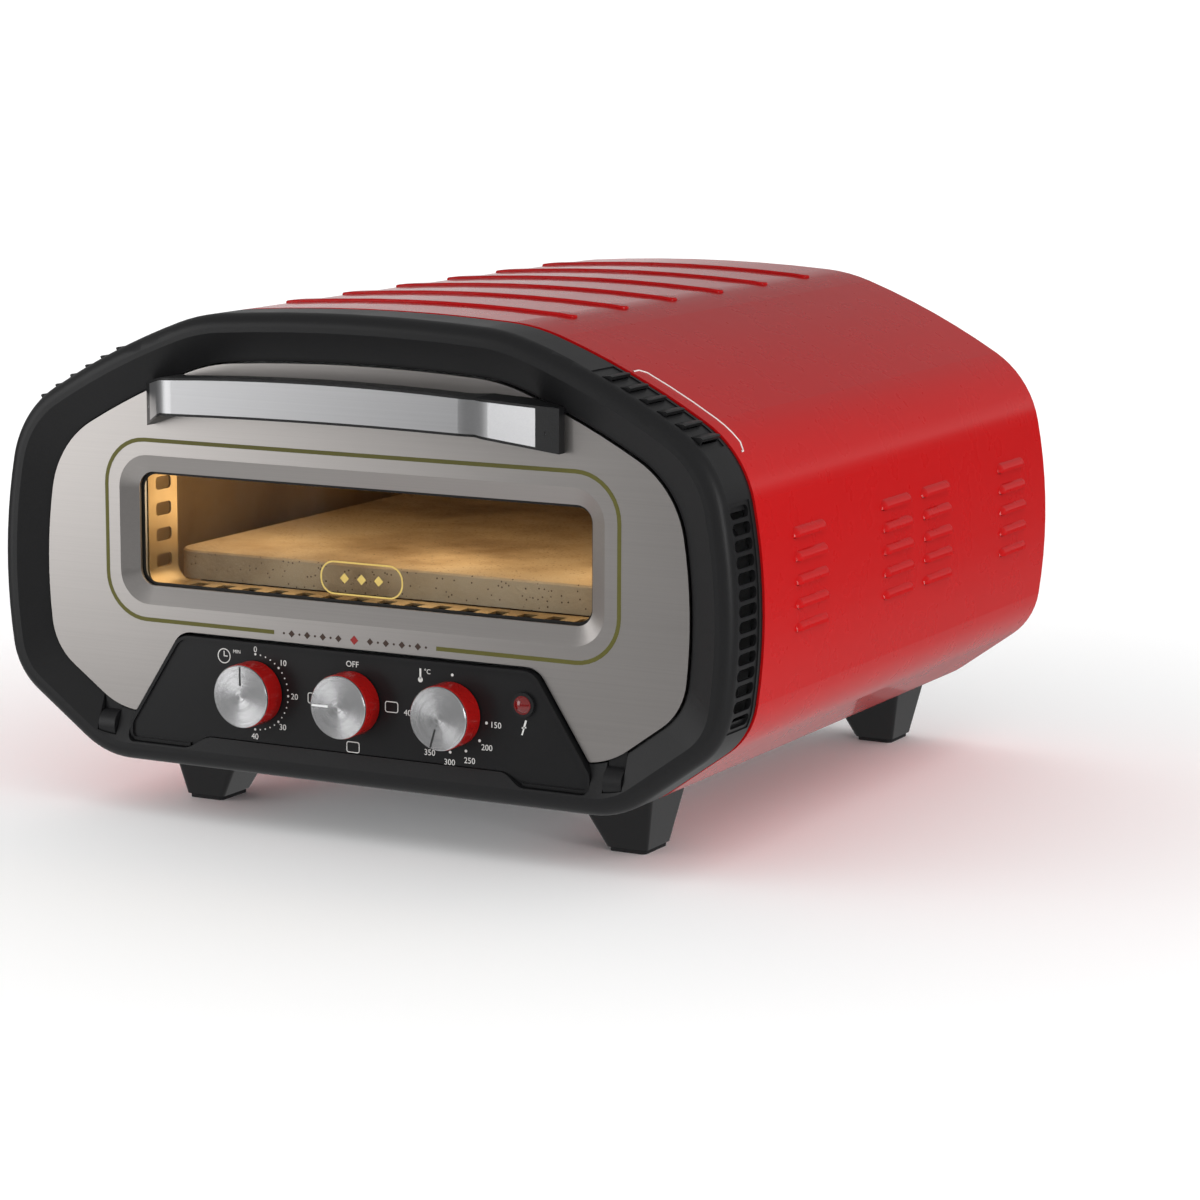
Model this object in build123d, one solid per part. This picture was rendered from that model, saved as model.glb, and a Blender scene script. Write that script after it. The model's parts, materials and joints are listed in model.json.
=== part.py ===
from build123d import *
from math import sqrt
import os

# Countertop pizza oven, in millimetres. X is to the right, Z is up from the table and, while
# the pieces are drawn, Y runs back from the steel face of the closed door. When the pieces
# are written they are moved along Y, so that the origin is under the middle of the oven.

# ---- driving dimensions -------------------------------------------------------------
width = 340.0
body_height = 190.0
foot_height = 25.0
casing_length = 297.0

# ---- cross-section of the body ------------------------------------------------------
top_crown_radius = 840.0
side_crown_radius = 227.0
side_crown_height = 78.0        # height of the widest point above the underside
shoulder_run = 99.0             # from the side of the body in to the flat of the top
shoulder_drop = 47.0            # from the top down to the corner with the side
shoulder_bulge = 3.6
slant_run = 49.0                # from the side of the body in to the flat underside
slant_rise = 32.0               # from the underside up to the corner with the side
top_corner_radius = 80.0
shoulder_corner_radius = 45.0
side_corner_radius = 30.0
bottom_corner_radius = 38.0

# ---- sheet metal and fits -----------------------------------------------------------
casing_sheet = 1.0
base_sheet = 1.2
rear_sheet = 1.5
plate_sheet = 1.2
liner_sheet = 1.0
running_gap = 0.8               # between the door and the frame that it closes into
fit_gap = 0.3                   # between pieces that only drop in
pin_gap = 0.08                  # between a pin and its bore

# ---- front frame --------------------------------------------------------------------
frame_lip_front = -5.0          # how far the rounded lip stands in front of the door
frame_rear = 20.0
frame_crest_inset = 7.5
frame_edge_radius = 5.5
frame_wall = 3.0
frame_hollow_front = 5.0
throat_front = 1.0              # where the sloping throat meets the straight opening
spigot_length = 8.0
spigot_wall = 3.0
boss_radius = 4.0
boss_floor = 2.0                # plastic left in front of the screw in each boss
plate_screw_drop = 28.0         # from the widest height of the side down to the lower boss
plate_screw_rise = 32.0
plate_screw_crown = 51.0        # from the middle out to the boss at the top
shadow_gap = 3.5
door_inset = 20.5               # from the outside of the body in to the edge of the door
door_soften = 16.0              # how much rounder the corners of the door are than the body's
door_tip_radius = 1.5

# ---- casing -------------------------------------------------------------------------
casing_front = frame_rear + shadow_gap
casing_rear = casing_front + casing_length
rear_flange_width = 9.0
rear_screw_drop = 25.0          # from the widest height of the side down to the lower screw
rear_screw_rise = 30.0
rear_screw_crown = 42.5         # from the middle out to the screw at the top
underside_gap_half = 74.0
rib_count = 6
rib_first = 60.0
rib_pitch = 44.5
rib_half_length = 68.5
rib_width = 6.0
rib_height = 1.1
rib_edge_radius = 0.8
louvre_rows = 5
louvre_columns = (67.2, 152.7, 194.7, 280.2)
louvre_top_height = 131.3
louvre_pitch = 9.2
louvre_length = 32.5
louvre_radius = 4.4
louvre_stand = 1.9
louvre_slit = 0.5               # how far the opening reaches below the hood

# ---- floor of the body ----------------------------------------------------------------
base_slot_columns = 9
base_slot_pitch = 12.0
base_slot_rows = (90.0, 150.0, 210.0)
base_slot_width = 4.0
base_slot_length = 34.0
terminal_x = 70.0
terminal_front = 262.0
terminal_width = 36.0
terminal_depth = 18.0
terminal_height = 14.0
terminal_count = 4
terminal_pitch = 8.0
terminal_radius = 2.0
terminal_bore = 4.0

# ---- side and shoulder grilles ------------------------------------------------------
grille_slots = 14
grille_slot_pitch = 6.2
grille_top_slot = 146.6
grille_slot_height = 4.6
grille_slot_front = 2.0
grille_slot_rear = 17.4
grille_front = 0.2
grille_rear = 18.6
grille_margin = 4.0
grille_sheet = 1.4
grille_inset = 0.5
step_count = 6
step_first = 0.44               # place of the first step along the shoulder curve
step_pitch = 0.088
step_width = 5.4
step_height = 1.4
step_foot = 1.2                 # how far each step reaches below the surface
step_crest = 1.0                # flat along the top of each step

# ---- control panel ------------------------------------------------------------------
panel_top = 79.6
panel_top_half = 83.0
panel_bottom_half = 108.0
panel_slant_foot = 41.0         # height where the slanting sides become upright
panel_bottom = 33.5
panel_step_rise = 5.0
panel_step_half = 70.0
panel_step_run = 8.0
panel_corner_radius = 8.0
panel_slant_radius = 6.0
panel_foot_radius = 3.0
panel_step_radius = 8.0
panel_front = -1.5
panel_back = 2.0
panel_rim_width = 1.3
panel_rim_height = 1.0
notch_gap = 1.2

# ---- knobs and lamp -----------------------------------------------------------------
knob_height = 59.2
knob_pitch = 46.2
knob_radius = 13.0
knob_face_radius = 12.8
knob_face = 1.1
knob_front = -13.2
knob_wall = 1.8
knob_hub_radius = 4.6
shaft_radius = 3.0
shaft_hole_radius = 3.9
control_body_rear = 44.0
knob_gap = 0.8                  # between the back of a knob and the panel
knob_rim_round = 0.4
knob_face_chamfer = 0.35
shaft_seat = 8.0                # how far a shaft reaches behind the steel plate
timer_half = 17.0
timer_half_height = 16.0
timer_bell_radius = 13.0
timer_bell = 5.0
selector_radius = 16.0
selector_shortfall = 4.0        # how much shorter than the timer
tab_count = 4
tab_pitch = 6.0
tab_width = 0.8
tab_low = -9.0
tab_high = -3.0
tab_length = 8.0
thermostat_half = 15.0
thermostat_low = -16.0
thermostat_high = 14.0
thermostat_cup = 6.0
thermostat_cup_radius = 11.0
nut_radius = 7.5
nut_thickness = 3.0
pointer_width = 0.9
pointer_depth = 0.35
pointer_start = 4.5
pointer_end = 12.2
lamp_x = 78.5
lamp_height = 66.0
lamp_radius = 3.5
lamp_ring_radius = 5.0
lamp_seat = 0.6
lamp_collar = 1.4               # how far the ring stands in front of the panel
lamp_tube_rear = 14.0
lamp_lens_rear = 10.0
lamp_wall = 0.8
lamp_end = 2.0                  # from the end of the bore to the end of the tube
lamp_brim = 0.2                 # how much wider the lens is at its brim

# ---- door ---------------------------------------------------------------------------
skin = 1.2
door_back = 13.0
door_wall = 1.5
door_pan_inset = 2.0
window_half = 105.7
window_bottom = 98.0
window_top = 145.5
window_corner_radius = 7.0
bevel_depth = 4.0
bevel_width = 7.3
bevel_corner_radius = 14.0
seal_thickness = 0.8
glass_thickness = 4.0
glass_overlap = 7.0
collar_depth = 20.0
collar_sheet = 1.0
collar_hole_count = 4
collar_slot_count = 15
collar_flange = 10.0
collar_hole_length = 11.0
collar_hole_radius = 1.8
collar_hole_margin = 4.0
collar_slot_length = 10.0
window_relief = 2.0             # how much larger than the window the collar and clamp open
pan_relief = 5.0                # and the pan between them
seal_relief = 1.5
clamp_lap = 2.0                 # how far the clamp reaches round the glass

# ---- handle -------------------------------------------------------------------------
handle_front = -30.5
handle_thickness = 11.0
handle_flat_half = 72.0
handle_foot_half = 95.5
handle_foot_width = 12.0
handle_cap_front = -4.5
handle_top_middle = 191.0
handle_top_bend = 188.9
handle_top_foot = 183.5
handle_bottom_middle = 174.8
handle_bottom_bend = 173.8
handle_bottom_foot = 165.8
handle_rim = 1.0
handle_plate = 1.0
handle_face_end = 89.0
handle_bend_radius = 14.0
handle_screw_radius = 2.4
handle_screw_head_radius = 3.4
handle_screw_length = 8.5
handle_screw_drop = 0.6         # below the middle of the foot of the handle

# ---- hinge --------------------------------------------------------------------------
hinge_y = 2.0
hinge_height = 38.5
hinge_x = 118.6
hinge_leaf_width = 8.0
hinge_leaf = 1.8
hinge_leaf_top = 62.0
hinge_barrel_radius = 6.5
hinge_pin_radius = 1.5
hinge_pin_length = 17.0
hinge_gap = 0.5
hinge_seat_wall = 1.2

# ---- oven chamber -------------------------------------------------------------------
mouth_half = 120.0
mouth_bottom = 90.0
mouth_top = 158.0
mouth_corner_radius = 14.0
chamber_half = 140.0
chamber_floor = 85.0
chamber_top = 167.0
chamber_rear = 291.0
gasket_width = 6.0
gasket_gap = 1.5
gasket_front = door_back + collar_sheet + 0.4
stone_half = 116.0
stone_front = 42.0
stone_rear = 284.0
stone_bottom = 95.0
stone_thickness = 12.0
stone_corner_radius = 12.0
stone_chamfer = 0.8
support_x = 100.0
support_width = 12.0
support_sheet = 1.0
support_margin = 6.0            # from each end of the stone in to the rail
element_radius = 3.2
element_front = 62.0
element_rear = chamber_rear + 14.0
element_bend_radius = 18.0
lower_element_height = 89.5
lower_element_half = 78.0
upper_element_height = 158.5
upper_element_half = 98.0
insulator_radius = 6.0
insulator_length = 9.0
insulator_neck_radius = 4.2
element_inner_share = 0.42      # half width of the inner loop as a share of the outer
element_rear_gap = 28.0         # from the inner loop to the back of the chamber
insulation_thickness = 8.0
insulation_side = 8.0           # from the side of the chamber in to the blanket
insulation_front = 10.0
insulation_rear = 6.0
bulb_x = chamber_half - 5.0
bulb_height = 152.0
bulb_front = 150.0
bulb_length = 70.0
bulb_radius = 2.5
capillary_radius = 1.0
capillary_bend = 4.0
capillary_lead = 12.0           # from the bulb forward to where the tube turns out
capillary_clear = 8.0           # from the chamber out to the tube
capillary_drop_gap = 16.0       # behind the thermostat
capillary_end = 8.0             # from the middle of the thermostat to the end of the tube
capillary_play = 0.5
bulb_round = 1.2
clip_margin = 14.0
clip_half_width = 3.0
clip_half_height = 5.0
clip_ring = 1.0

# ---- feet ---------------------------------------------------------------------------
foot_x = 101.2
foot_width = 18.4
foot_front_y = 52.5
foot_rear_y = 298.5
foot_length = 22.0
foot_pad = 1.8
foot_pad_margin = 2.0
foot_flare_in = 0.56
foot_flare_out = 0.2
foot_flare_y = 0.24
foot_screw_radius = 2.0
foot_screw_head = 3.6
foot_bore_top = 12.0
foot_lower_radius = 2.0
foot_upper_radius = 3.0
foot_rise_over = 8.0            # how far up round the body the foot is drawn
foot_screw_head_height = 3.0
foot_screw_reach = 6.0
foot_nut_radius = 3.8
foot_nut = 3.0

# ---- rear ---------------------------------------------------------------------------
gland_x = 112.0
gland_height = 62.0
gland_radius = 9.0
gland_stand = 6.0
gland_bore = 3.6
rear_slot_count = 12
rear_slot_pitch = 11.0
rear_slot_width = 4.0
rear_slot_height = 24.0
rear_slot_rows = (110.0, 150.0)
gland_collar = 2.0
gland_nose_radius = 6.3
gland_neck_radius = 4.5
gland_nut_radius = 7.2
gland_nut = 4.0
rating_plate_x = -120.0
rating_plate_bottom = 52.0
rating_plate_width = 50.0
rating_plate_height = 26.0
rating_plate_sheet = 0.5
screw_radius = 1.8
screw_head_radius = 3.4
screw_head = 1.8
screw_reach = 4.0               # how far the screws at the back pass through the panel
screw_cross_length = 4.0
screw_cross_width = 0.9
screw_cross_depth = 0.6

# ---- worked out from the values above -----------------------------------------------
half_width = width / 2
top = foot_height + body_height
side_crown_z = foot_height + side_crown_height
spigot_rear = frame_rear + spigot_length
plate_rear = frame_rear + plate_sheet
rear_panel_rear = casing_rear - casing_sheet
rear_panel_front = rear_panel_rear - rear_sheet
base_bottom = foot_height + casing_sheet
base_top = base_bottom + base_sheet
gland_rear = rear_panel_rear + gland_stand
origin_y = (handle_front + gland_rear) / 2
knob_xs = (-knob_pitch, 0.0, knob_pitch)


def side_x(z):
    """Half width of the body at a height on its crowned side."""
    drop = z - side_crown_z
    return half_width - side_crown_radius + sqrt(side_crown_radius ** 2 - drop ** 2)


def top_z(x):
    """Height of the crowned top at a distance from the middle."""
    return top - top_crown_radius + sqrt(top_crown_radius ** 2 - x ** 2)


def bulged(start, end, bulge):
    """Arc between two corners that stands out from its chord by the bulge."""
    chord = Vector(*end) - Vector(*start)
    middle = Vector(*start) + chord * 0.5
    outward = Vector(-chord.Y, chord.X).normalized() * bulge
    return ThreePointArc(start, tuple(middle + outward)[:2], end)


top_corner = (half_width - shoulder_run, top_z(half_width - shoulder_run))
shoulder_corner = (side_x(top - shoulder_drop), top - shoulder_drop)
side_corner = (side_x(foot_height + slant_rise), foot_height + slant_rise)
bottom_corner = (half_width - slant_run, foot_height)
shoulder_curve = bulged(top_corner, shoulder_corner, shoulder_bulge)


def mirrored(point):
    return (-point[0], point[1])


def body_outline(inset=0.0, soften=0.0):
    """Outline of the body in X and Z, drawn in by the inset, with rounder corners if softened."""
    left_top, left_shoulder = mirrored(top_corner), mirrored(shoulder_corner)
    left_side, left_bottom = mirrored(side_corner), mirrored(bottom_corner)
    lines = [
        ThreePointArc(left_top, (0, top), top_corner),
        shoulder_curve,
        ThreePointArc(shoulder_corner, (half_width, side_crown_z), side_corner),
        Line(side_corner, bottom_corner),
        Line(bottom_corner, left_bottom),
        Line(left_bottom, left_side),
        ThreePointArc(left_side, (-half_width, side_crown_z), left_shoulder),
        bulged(left_shoulder, left_top, shoulder_bulge),
    ]
    outline = Sketch() + make_face(lines)
    radii = (
        (top_corner, top_corner_radius),
        (shoulder_corner, shoulder_corner_radius),
        (side_corner, side_corner_radius),
        (bottom_corner, bottom_corner_radius),
    )
    for corner, radius in radii:
        for x, z in (corner, mirrored(corner)):
            vertex = outline.vertices().sort_by_distance((x, z, 0))[0]
            outline = fillet(vertex, radius + soften)
    return outline if inset == 0 else offset(outline, -inset)


def prism(sketch, front, rear):
    """Solid of an outline drawn in X and Z between two depths."""
    return extrude(Plane.XZ.offset(-front) * sketch, front - rear)


def block(x0, x1, y0, y1, z0, z1):
    """Box between two values on each axis."""
    centre = Pos((x0 + x1) / 2, (y0 + y1) / 2, (z0 + z1) / 2)
    return centre * Box(x1 - x0, y1 - y0, z1 - z0)


def rod(x, z, front, rear, radius):
    """Cylinder along Y between two depths."""
    return Pos(x, (front + rear) / 2, z) * Rot(90, 0, 0) * Cylinder(radius, rear - front)


def slab(half, bottom, upper, radius):
    """Rounded rectangle in X and Z, centred across the oven."""
    return Pos(0, (bottom + upper) / 2) * RectangleRounded(2 * half, upper - bottom, radius)


def across(solid):
    """The same piece on the other side of the oven."""
    return mirror(solid, Plane.YZ)


def joined(solids):
    """One solid, or a group, from a list of pieces."""
    whole = solids[0]
    for solid in solids[1:]:
        whole = whole + solid
    return whole


def group(solids):
    """Separate like pieces that share one node."""
    return Compound(children=[solid.solid() for solid in solids])


outer = body_outline()
door_opening = body_outline(door_inset - running_gap, door_soften)


# ---- control panel outline -----------------------------------------------------------
def panel_outline(grow=0.0):
    """Trapezoid of the panel with the raised middle of its lower edge, grown all round."""
    right = [
        (panel_top_half, panel_top),
        (panel_bottom_half, panel_slant_foot),
        (panel_bottom_half, panel_bottom),
        (panel_step_half + panel_step_run, panel_bottom),
        (panel_step_half, panel_bottom + panel_step_rise),
    ]
    left = [mirrored(point) for point in reversed(right)]
    outline = Sketch() + make_face(Polyline(right + left, close=True))
    if grow != 0:
        outline = offset(outline, grow, kind=Kind.INTERSECTION)
    radii = (panel_corner_radius + grow, panel_slant_radius + grow, panel_foot_radius + grow,
             panel_step_radius + grow, panel_step_radius - grow)
    for corner, radius in zip(right, radii):
        for x, z in (corner, mirrored(corner)):
            vertex = outline.vertices().sort_by_distance((x, z, 0))[0]
            outline = fillet(vertex, radius)
    return outline


panel_shape = panel_outline()


# ---- casing --------------------------------------------------------------------------
def rib(y, margin, sink):
    """Crowned strip with round ends across the top, drawn in at the sides and the top."""
    plan = SlotOverall(2 * (rib_half_length - margin), rib_width - 2 * margin)
    post = Pos(0, y, side_crown_z) * extrude(plan, body_height)
    return post & prism(body_outline(sink - rib_height), y - rib_width, y + rib_width)


def rounded_rib(y):
    """Outside of one pressed rib, with its upper edge rounded."""
    strip = rib(y, 0, 0)
    rim = [edge for edge in strip.edges()
           if edge.center().Z > top - shoulder_drop and edge.geom_type != GeomType.LINE]
    return fillet(rim, rib_edge_radius)


rib_ys = [rib_first + rib_pitch * i for i in range(rib_count)]


def capsule(y, z, radius):
    """Rod along Y with round ends, sunk in the side of the casing."""
    x = side_x(z) + louvre_stand - louvre_radius
    straight = louvre_length / 2 - louvre_radius
    ends = [Pos(x, y + s * straight, z) * Sphere(radius) for s in (-1, 1)]
    return rod(x, z, y - straight, y + straight, radius) + ends


def louvre(y, z):
    """Hood pressed out of the side, open along its lower edge."""
    hood = capsule(y, z, louvre_radius) - capsule(y, z, louvre_radius - casing_sheet)
    x = side_x(z)
    keep = block(x - casing_sheet, x + 2 * louvre_radius, y - louvre_length, y + louvre_length,
                 z, z + 2 * louvre_radius)
    return hood & keep


def louvre_slot(y, z):
    """Opening in the sheet below and behind one hood."""
    x = side_x(z)
    half = louvre_length / 2 - louvre_radius / 2
    return block(x - 4 * casing_sheet, x + 4 * casing_sheet, y - half, y + half,
                 z - louvre_slit, z + louvre_radius / 3)


def casing():
    """Red wrap of the body with its ribs, louvres and rear flange."""
    wrap = prism(outer, casing_front, casing_rear)
    ribs = joined([rounded_rib(y) for y in rib_ys])
    hollow = prism(body_outline(casing_sheet), casing_front, casing_rear)
    wrap = wrap + ribs - hollow
    wrap -= joined([rib(y, casing_sheet, casing_sheet) for y in rib_ys])
    places = [(y, louvre_top_height - louvre_pitch * row)
              for y in louvre_columns for row in range(louvre_rows)]
    slots = [louvre_slot(y, z) for y, z in places]
    hoods = [louvre(y, z) for y, z in places]
    wrap = wrap - slots - [across(slot) for slot in slots]
    wrap = wrap + hoods + [across(hood) for hood in hoods]
    flange = prism(body_outline(casing_sheet) - body_outline(rear_flange_width),
                   rear_panel_rear, casing_rear)
    wrap = wrap + flange
    underside = block(-underside_gap_half, underside_gap_half, casing_front, casing_rear,
                      foot_height - 1, foot_height + 2 * rear_flange_width)
    wrap -= underside
    return wrap - foot_screw_holes() - rear_screw_holes()


def foot_places():
    return [(sx * foot_x, y) for sx in (-1, 1) for y in (foot_front_y, foot_rear_y)]


def foot_screw_holes():
    return [Pos(x, y, foot_height) * Cylinder(foot_screw_radius + pin_gap, 20)
            for x, y in foot_places()]


def rear_screw_places():
    """Places of the screws through the rear flange."""
    half_flange = (casing_sheet + rear_flange_width) / 2
    low = side_crown_z - rear_screw_drop
    high = side_crown_z + rear_screw_rise
    crown = rear_screw_crown
    right = [(side_x(low) - half_flange, low), (side_x(high) - half_flange, high),
             (crown, top_z(crown) - half_flange)]
    return right + [mirrored(place) for place in right]


def rear_screw_holes():
    return [rod(x, z, rear_panel_front - 2, casing_rear + 2, screw_radius + pin_gap)
            for x, z in rear_screw_places()]


def base_plate():
    """Flat floor of the body with cooling slots."""
    half = bottom_corner[0] - bottom_corner_radius / 3
    plate = block(-half, half, spigot_rear, rear_panel_front, base_bottom, base_top)
    first = -base_slot_pitch * (base_slot_columns - 1) / 2
    slot = Box(base_slot_width, base_slot_length, 4 * base_sheet)
    slots = [Pos(first + base_slot_pitch * i, y, base_bottom) * slot
             for i in range(base_slot_columns) for y in base_slot_rows]
    return plate - slots - foot_screw_holes()


def rear_panel():
    """Back of the body with two rows of cooling slots and the hole for the cord gland."""
    panel = prism(body_outline(casing_sheet), rear_panel_front, rear_panel_rear)
    first = -rear_slot_pitch * (rear_slot_count - 1) / 2
    slots = [Pos(first + rear_slot_pitch * i, rear_panel_front, z)
             * Box(rear_slot_width, 4 * rear_sheet, rear_slot_height)
             for i in range(rear_slot_count) for z in rear_slot_rows]
    hole = rod(gland_x, gland_height, rear_panel_front - 1, rear_panel_rear + 1,
               gland_neck_radius)
    return panel - slots - hole - rear_screw_holes()


def cord_gland():
    """Inlet that the mains cord passes through."""
    collar = rod(gland_x, gland_height, rear_panel_rear, rear_panel_rear + gland_collar,
                 gland_radius)
    nose = rod(gland_x, gland_height, rear_panel_rear, gland_rear, gland_nose_radius)
    neck = rod(gland_x, gland_height, rear_panel_front, rear_panel_rear, gland_neck_radius)
    nut = rod(gland_x, gland_height, rear_panel_front - gland_nut, rear_panel_front,
              gland_nut_radius)
    bore = rod(gland_x, gland_height, rear_panel_front - gland_nut - 1, gland_rear + 1,
               gland_bore)
    return collar + nose + neck + nut - bore


def pan_screw(x, z, head_front, head_rear, tip):
    """Screw along Y with its head between two depths and its shank out to the tip."""
    head = rod(x, z, min(head_front, head_rear), max(head_front, head_rear), screw_head_radius)
    seat = head_front if tip < head_front else head_rear
    shank = rod(x, z, min(seat, tip), max(seat, tip), screw_radius)
    slot_y = head_rear if tip < head_front else head_front
    cross = Box(screw_cross_length, 2 * screw_cross_depth, screw_cross_width) \
        + Box(screw_cross_width, 2 * screw_cross_depth, screw_cross_length)
    return head + shank - Pos(x, slot_y, z) * cross


def rear_screws():
    tip = rear_panel_front - screw_reach
    return group([pan_screw(x, z, casing_rear, casing_rear + screw_head, tip)
                  for x, z in rear_screw_places()])


def rating_plate():
    """Blank plate on the back."""
    return block(rating_plate_x, rating_plate_x + rating_plate_width, rear_panel_rear,
                 rear_panel_rear + rating_plate_sheet, rating_plate_bottom,
                 rating_plate_bottom + rating_plate_height)


# ---- front frame ---------------------------------------------------------------------
def plate_screw_places():
    """Places of the bosses in the hollow of the front frame."""
    depth = (frame_wall + door_inset) / 2
    low = side_crown_z - plate_screw_drop
    high = side_crown_z + plate_screw_rise
    crown = plate_screw_crown
    right = [(side_x(low) - depth, low), (side_x(high) - depth, high),
             (crown, top_z(crown) - depth + 1)]
    return right + [mirrored(place) for place in right]


def side_strip(inset, thickness, front, rear, margin):
    """Strip of the curved side wall that the grille fills."""
    low = grille_top_slot - grille_slot_pitch * (grille_slots - 1) - margin
    high = grille_top_slot + margin
    ring = prism(body_outline(inset) - body_outline(inset + thickness), front, rear)
    return ring & block(half_width / 2, half_width, front, rear, low, high)


def step_frame(index):
    """Location on the shoulder curve: Z out of the surface and X along it."""
    place = step_first + step_pitch * index
    point = shoulder_curve.position_at(place)
    along = shoulder_curve.tangent_at(place)
    middle_y = (grille_slot_front + grille_slot_rear) / 2
    return Plane((point.X, middle_y, point.Y), x_dir=(along.X, 0, along.Y),
                 z_dir=(-along.Y, 0, along.X))


def shoulder_strip(inset, thickness, front, rear, margin):
    """Strip of the shoulder wall that the stepped grille fills."""
    first, last = step_frame(0).origin, step_frame(step_count - 1).origin
    along = last - first
    middle = first + along * 0.5
    length = along.length + step_width + 2 * margin
    ring = prism(body_outline(inset) - body_outline(inset + thickness), front, rear)
    place = Plane(middle, x_dir=along, z_dir=Vector(-along.Z, 0, along.X))
    return ring & place * Box(length, 4 * (rear - front), 6 * step_width)


def front_frame():
    """Black frame round the door, hollow at the back, with its throat and pockets."""
    frame = prism(outer, frame_lip_front, frame_rear)
    edge = frame.faces().sort_by(Axis.Y)[0].edges()
    frame = fillet(edge, frame_edge_radius)
    throat = loft([
        Plane.XZ.offset(-(frame_lip_front - 0.01)) * body_outline(frame_crest_inset),
        Plane.XZ.offset(-throat_front) * door_opening,
    ], ruled=True)
    opening = prism(door_opening, throat_front - 0.01, frame_rear)
    wall = body_outline(door_inset - running_gap - frame_wall, door_soften)
    hollow = prism(body_outline(frame_wall) - wall, frame_hollow_front, frame_rear)
    frame = frame - hollow - throat - opening
    spigot = prism(body_outline(casing_sheet) - body_outline(casing_sheet + spigot_wall),
                   frame_rear, spigot_rear)
    frame = frame + spigot
    bosses = [rod(x, z, frame_hollow_front - 1, frame_rear, boss_radius)
              for x, z in plate_screw_places()]
    holes = [rod(x, z, frame_hollow_front + boss_floor, frame_rear + 1, screw_radius)
             for x, z in plate_screw_places()]
    frame = frame + bosses - holes
    pocket = prism(panel_outline(fit_gap), frame_lip_front - 1, panel_back)
    frame -= pocket
    side = side_strip(-1, grille_sheet + grille_inset + 1, grille_front, grille_rear,
                      grille_margin)
    shoulder = shoulder_strip(-1, grille_sheet + grille_inset + 1, grille_front, grille_rear,
                              grille_margin - 1)
    frame = frame - side - across(side) - shoulder - across(shoulder)
    side_vent = side_strip(0, 2 * frame_wall, grille_slot_front, grille_slot_rear, 0)
    shoulder_vent = shoulder_strip(0, 2 * frame_wall, grille_slot_front, grille_slot_rear, 0)
    frame = frame - side_vent - across(side_vent) - shoulder_vent - across(shoulder_vent)
    return hinge_seats(frame)


def hinge_seats(frame):
    """Blocks, slots and pin holes for the two hinges in the lower edge of the frame."""
    outside = prism(body_outline(hinge_seat_wall), frame_lip_front + 2, frame_rear)
    reach = hinge_pin_length / 2 + hinge_seat_wall
    half_slot = hinge_leaf_width / 2 + hinge_gap
    radius = hinge_barrel_radius + hinge_gap
    for side in (-1, 1):
        x = side * hinge_x
        seat = block(x - reach, x + reach, throat_front, hinge_y + radius,
                     hinge_height - hinge_barrel_radius, hinge_height + 3 * hinge_pin_radius)
        turn = hinge_rod(x, radius, 2 * half_slot)
        slot = block(x - half_slot, x + half_slot, frame_lip_front - 1, hinge_y + radius,
                     hinge_height, hinge_height + 3 * hinge_barrel_radius)
        pin = hinge_rod(x, hinge_pin_radius, hinge_pin_length)
        frame = frame + (seat & outside) - turn - slot - pin
    return frame


def hinge_rod(x, radius, length):
    """Cylinder along the hinge axis."""
    return Pos(x, hinge_y, hinge_height) * Rot(0, 90, 0) * Cylinder(radius, length)


def hinge_strap(x, gap):
    """Flat strap from the hinge barrel up behind the leg of the door."""
    half = hinge_leaf_width / 2 + gap
    return block(x - half, x + half, skin, skin + hinge_leaf + gap, hinge_height,
                 hinge_leaf_top + gap)


def side_grille():
    """Curved insert with its column of cooling slots."""
    strip = side_strip(grille_inset, grille_sheet, grille_front, grille_rear, grille_margin)
    length = grille_slot_rear - grille_slot_front
    middle_y = (grille_slot_rear + grille_slot_front) / 2
    slot = Rot(0, 90, 0) * SlotOverall(length, grille_slot_height, 90)
    cutter = extrude(slot, 60, both=True)
    rows = [grille_top_slot - grille_slot_pitch * i for i in range(grille_slots)]
    return strip - [Pos(half_width, middle_y, z) * cutter for z in rows]


def stepped_grille():
    """Insert on the shoulder with a row of stepped louvres."""
    strip = shoulder_strip(grille_inset, grille_sheet, grille_front, grille_rear,
                           grille_margin - 1)
    length = grille_slot_rear - grille_slot_front
    frames = [step_frame(i) for i in range(step_count)]
    slots = [frame * Pos(step_width / 4, 0, 0) * Box(step_width / 2, length, 12)
             for frame in frames]
    half = step_width / 2
    wedge_profile = make_face(Polyline((-half, -step_foot), (half, -step_foot),
                                       (half, step_height), (half - step_crest, step_height),
                                       close=True))
    wedge = extrude(Plane.XZ * wedge_profile, length / 2, both=True)
    under = Pos(half / 2, 0, -grille_sheet) * Box(half, length - 2 * step_crest,
                                                  2 * grille_sheet)
    return strip - slots + [frame * (wedge - under) for frame in frames]


def control_panel():
    """Black plate behind the knobs, with a raised rim along its top and sides."""
    plate = prism(panel_shape, panel_front, panel_back)
    rim = panel_shape - panel_outline(-panel_rim_width)
    rim = prism(rim, panel_front - panel_rim_height, panel_front)
    rim -= block(-panel_step_half - panel_step_run, panel_step_half + panel_step_run, -10, 10,
                 panel_bottom - 1, panel_bottom + 2 * panel_step_rise)
    holes = [rod(x, knob_height, -10, 10, shaft_hole_radius) for x in knob_xs]
    lamp_hole = rod(lamp_x, lamp_height, -10, 10, lamp_radius)
    return plate + rim - holes - lamp_hole


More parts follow.
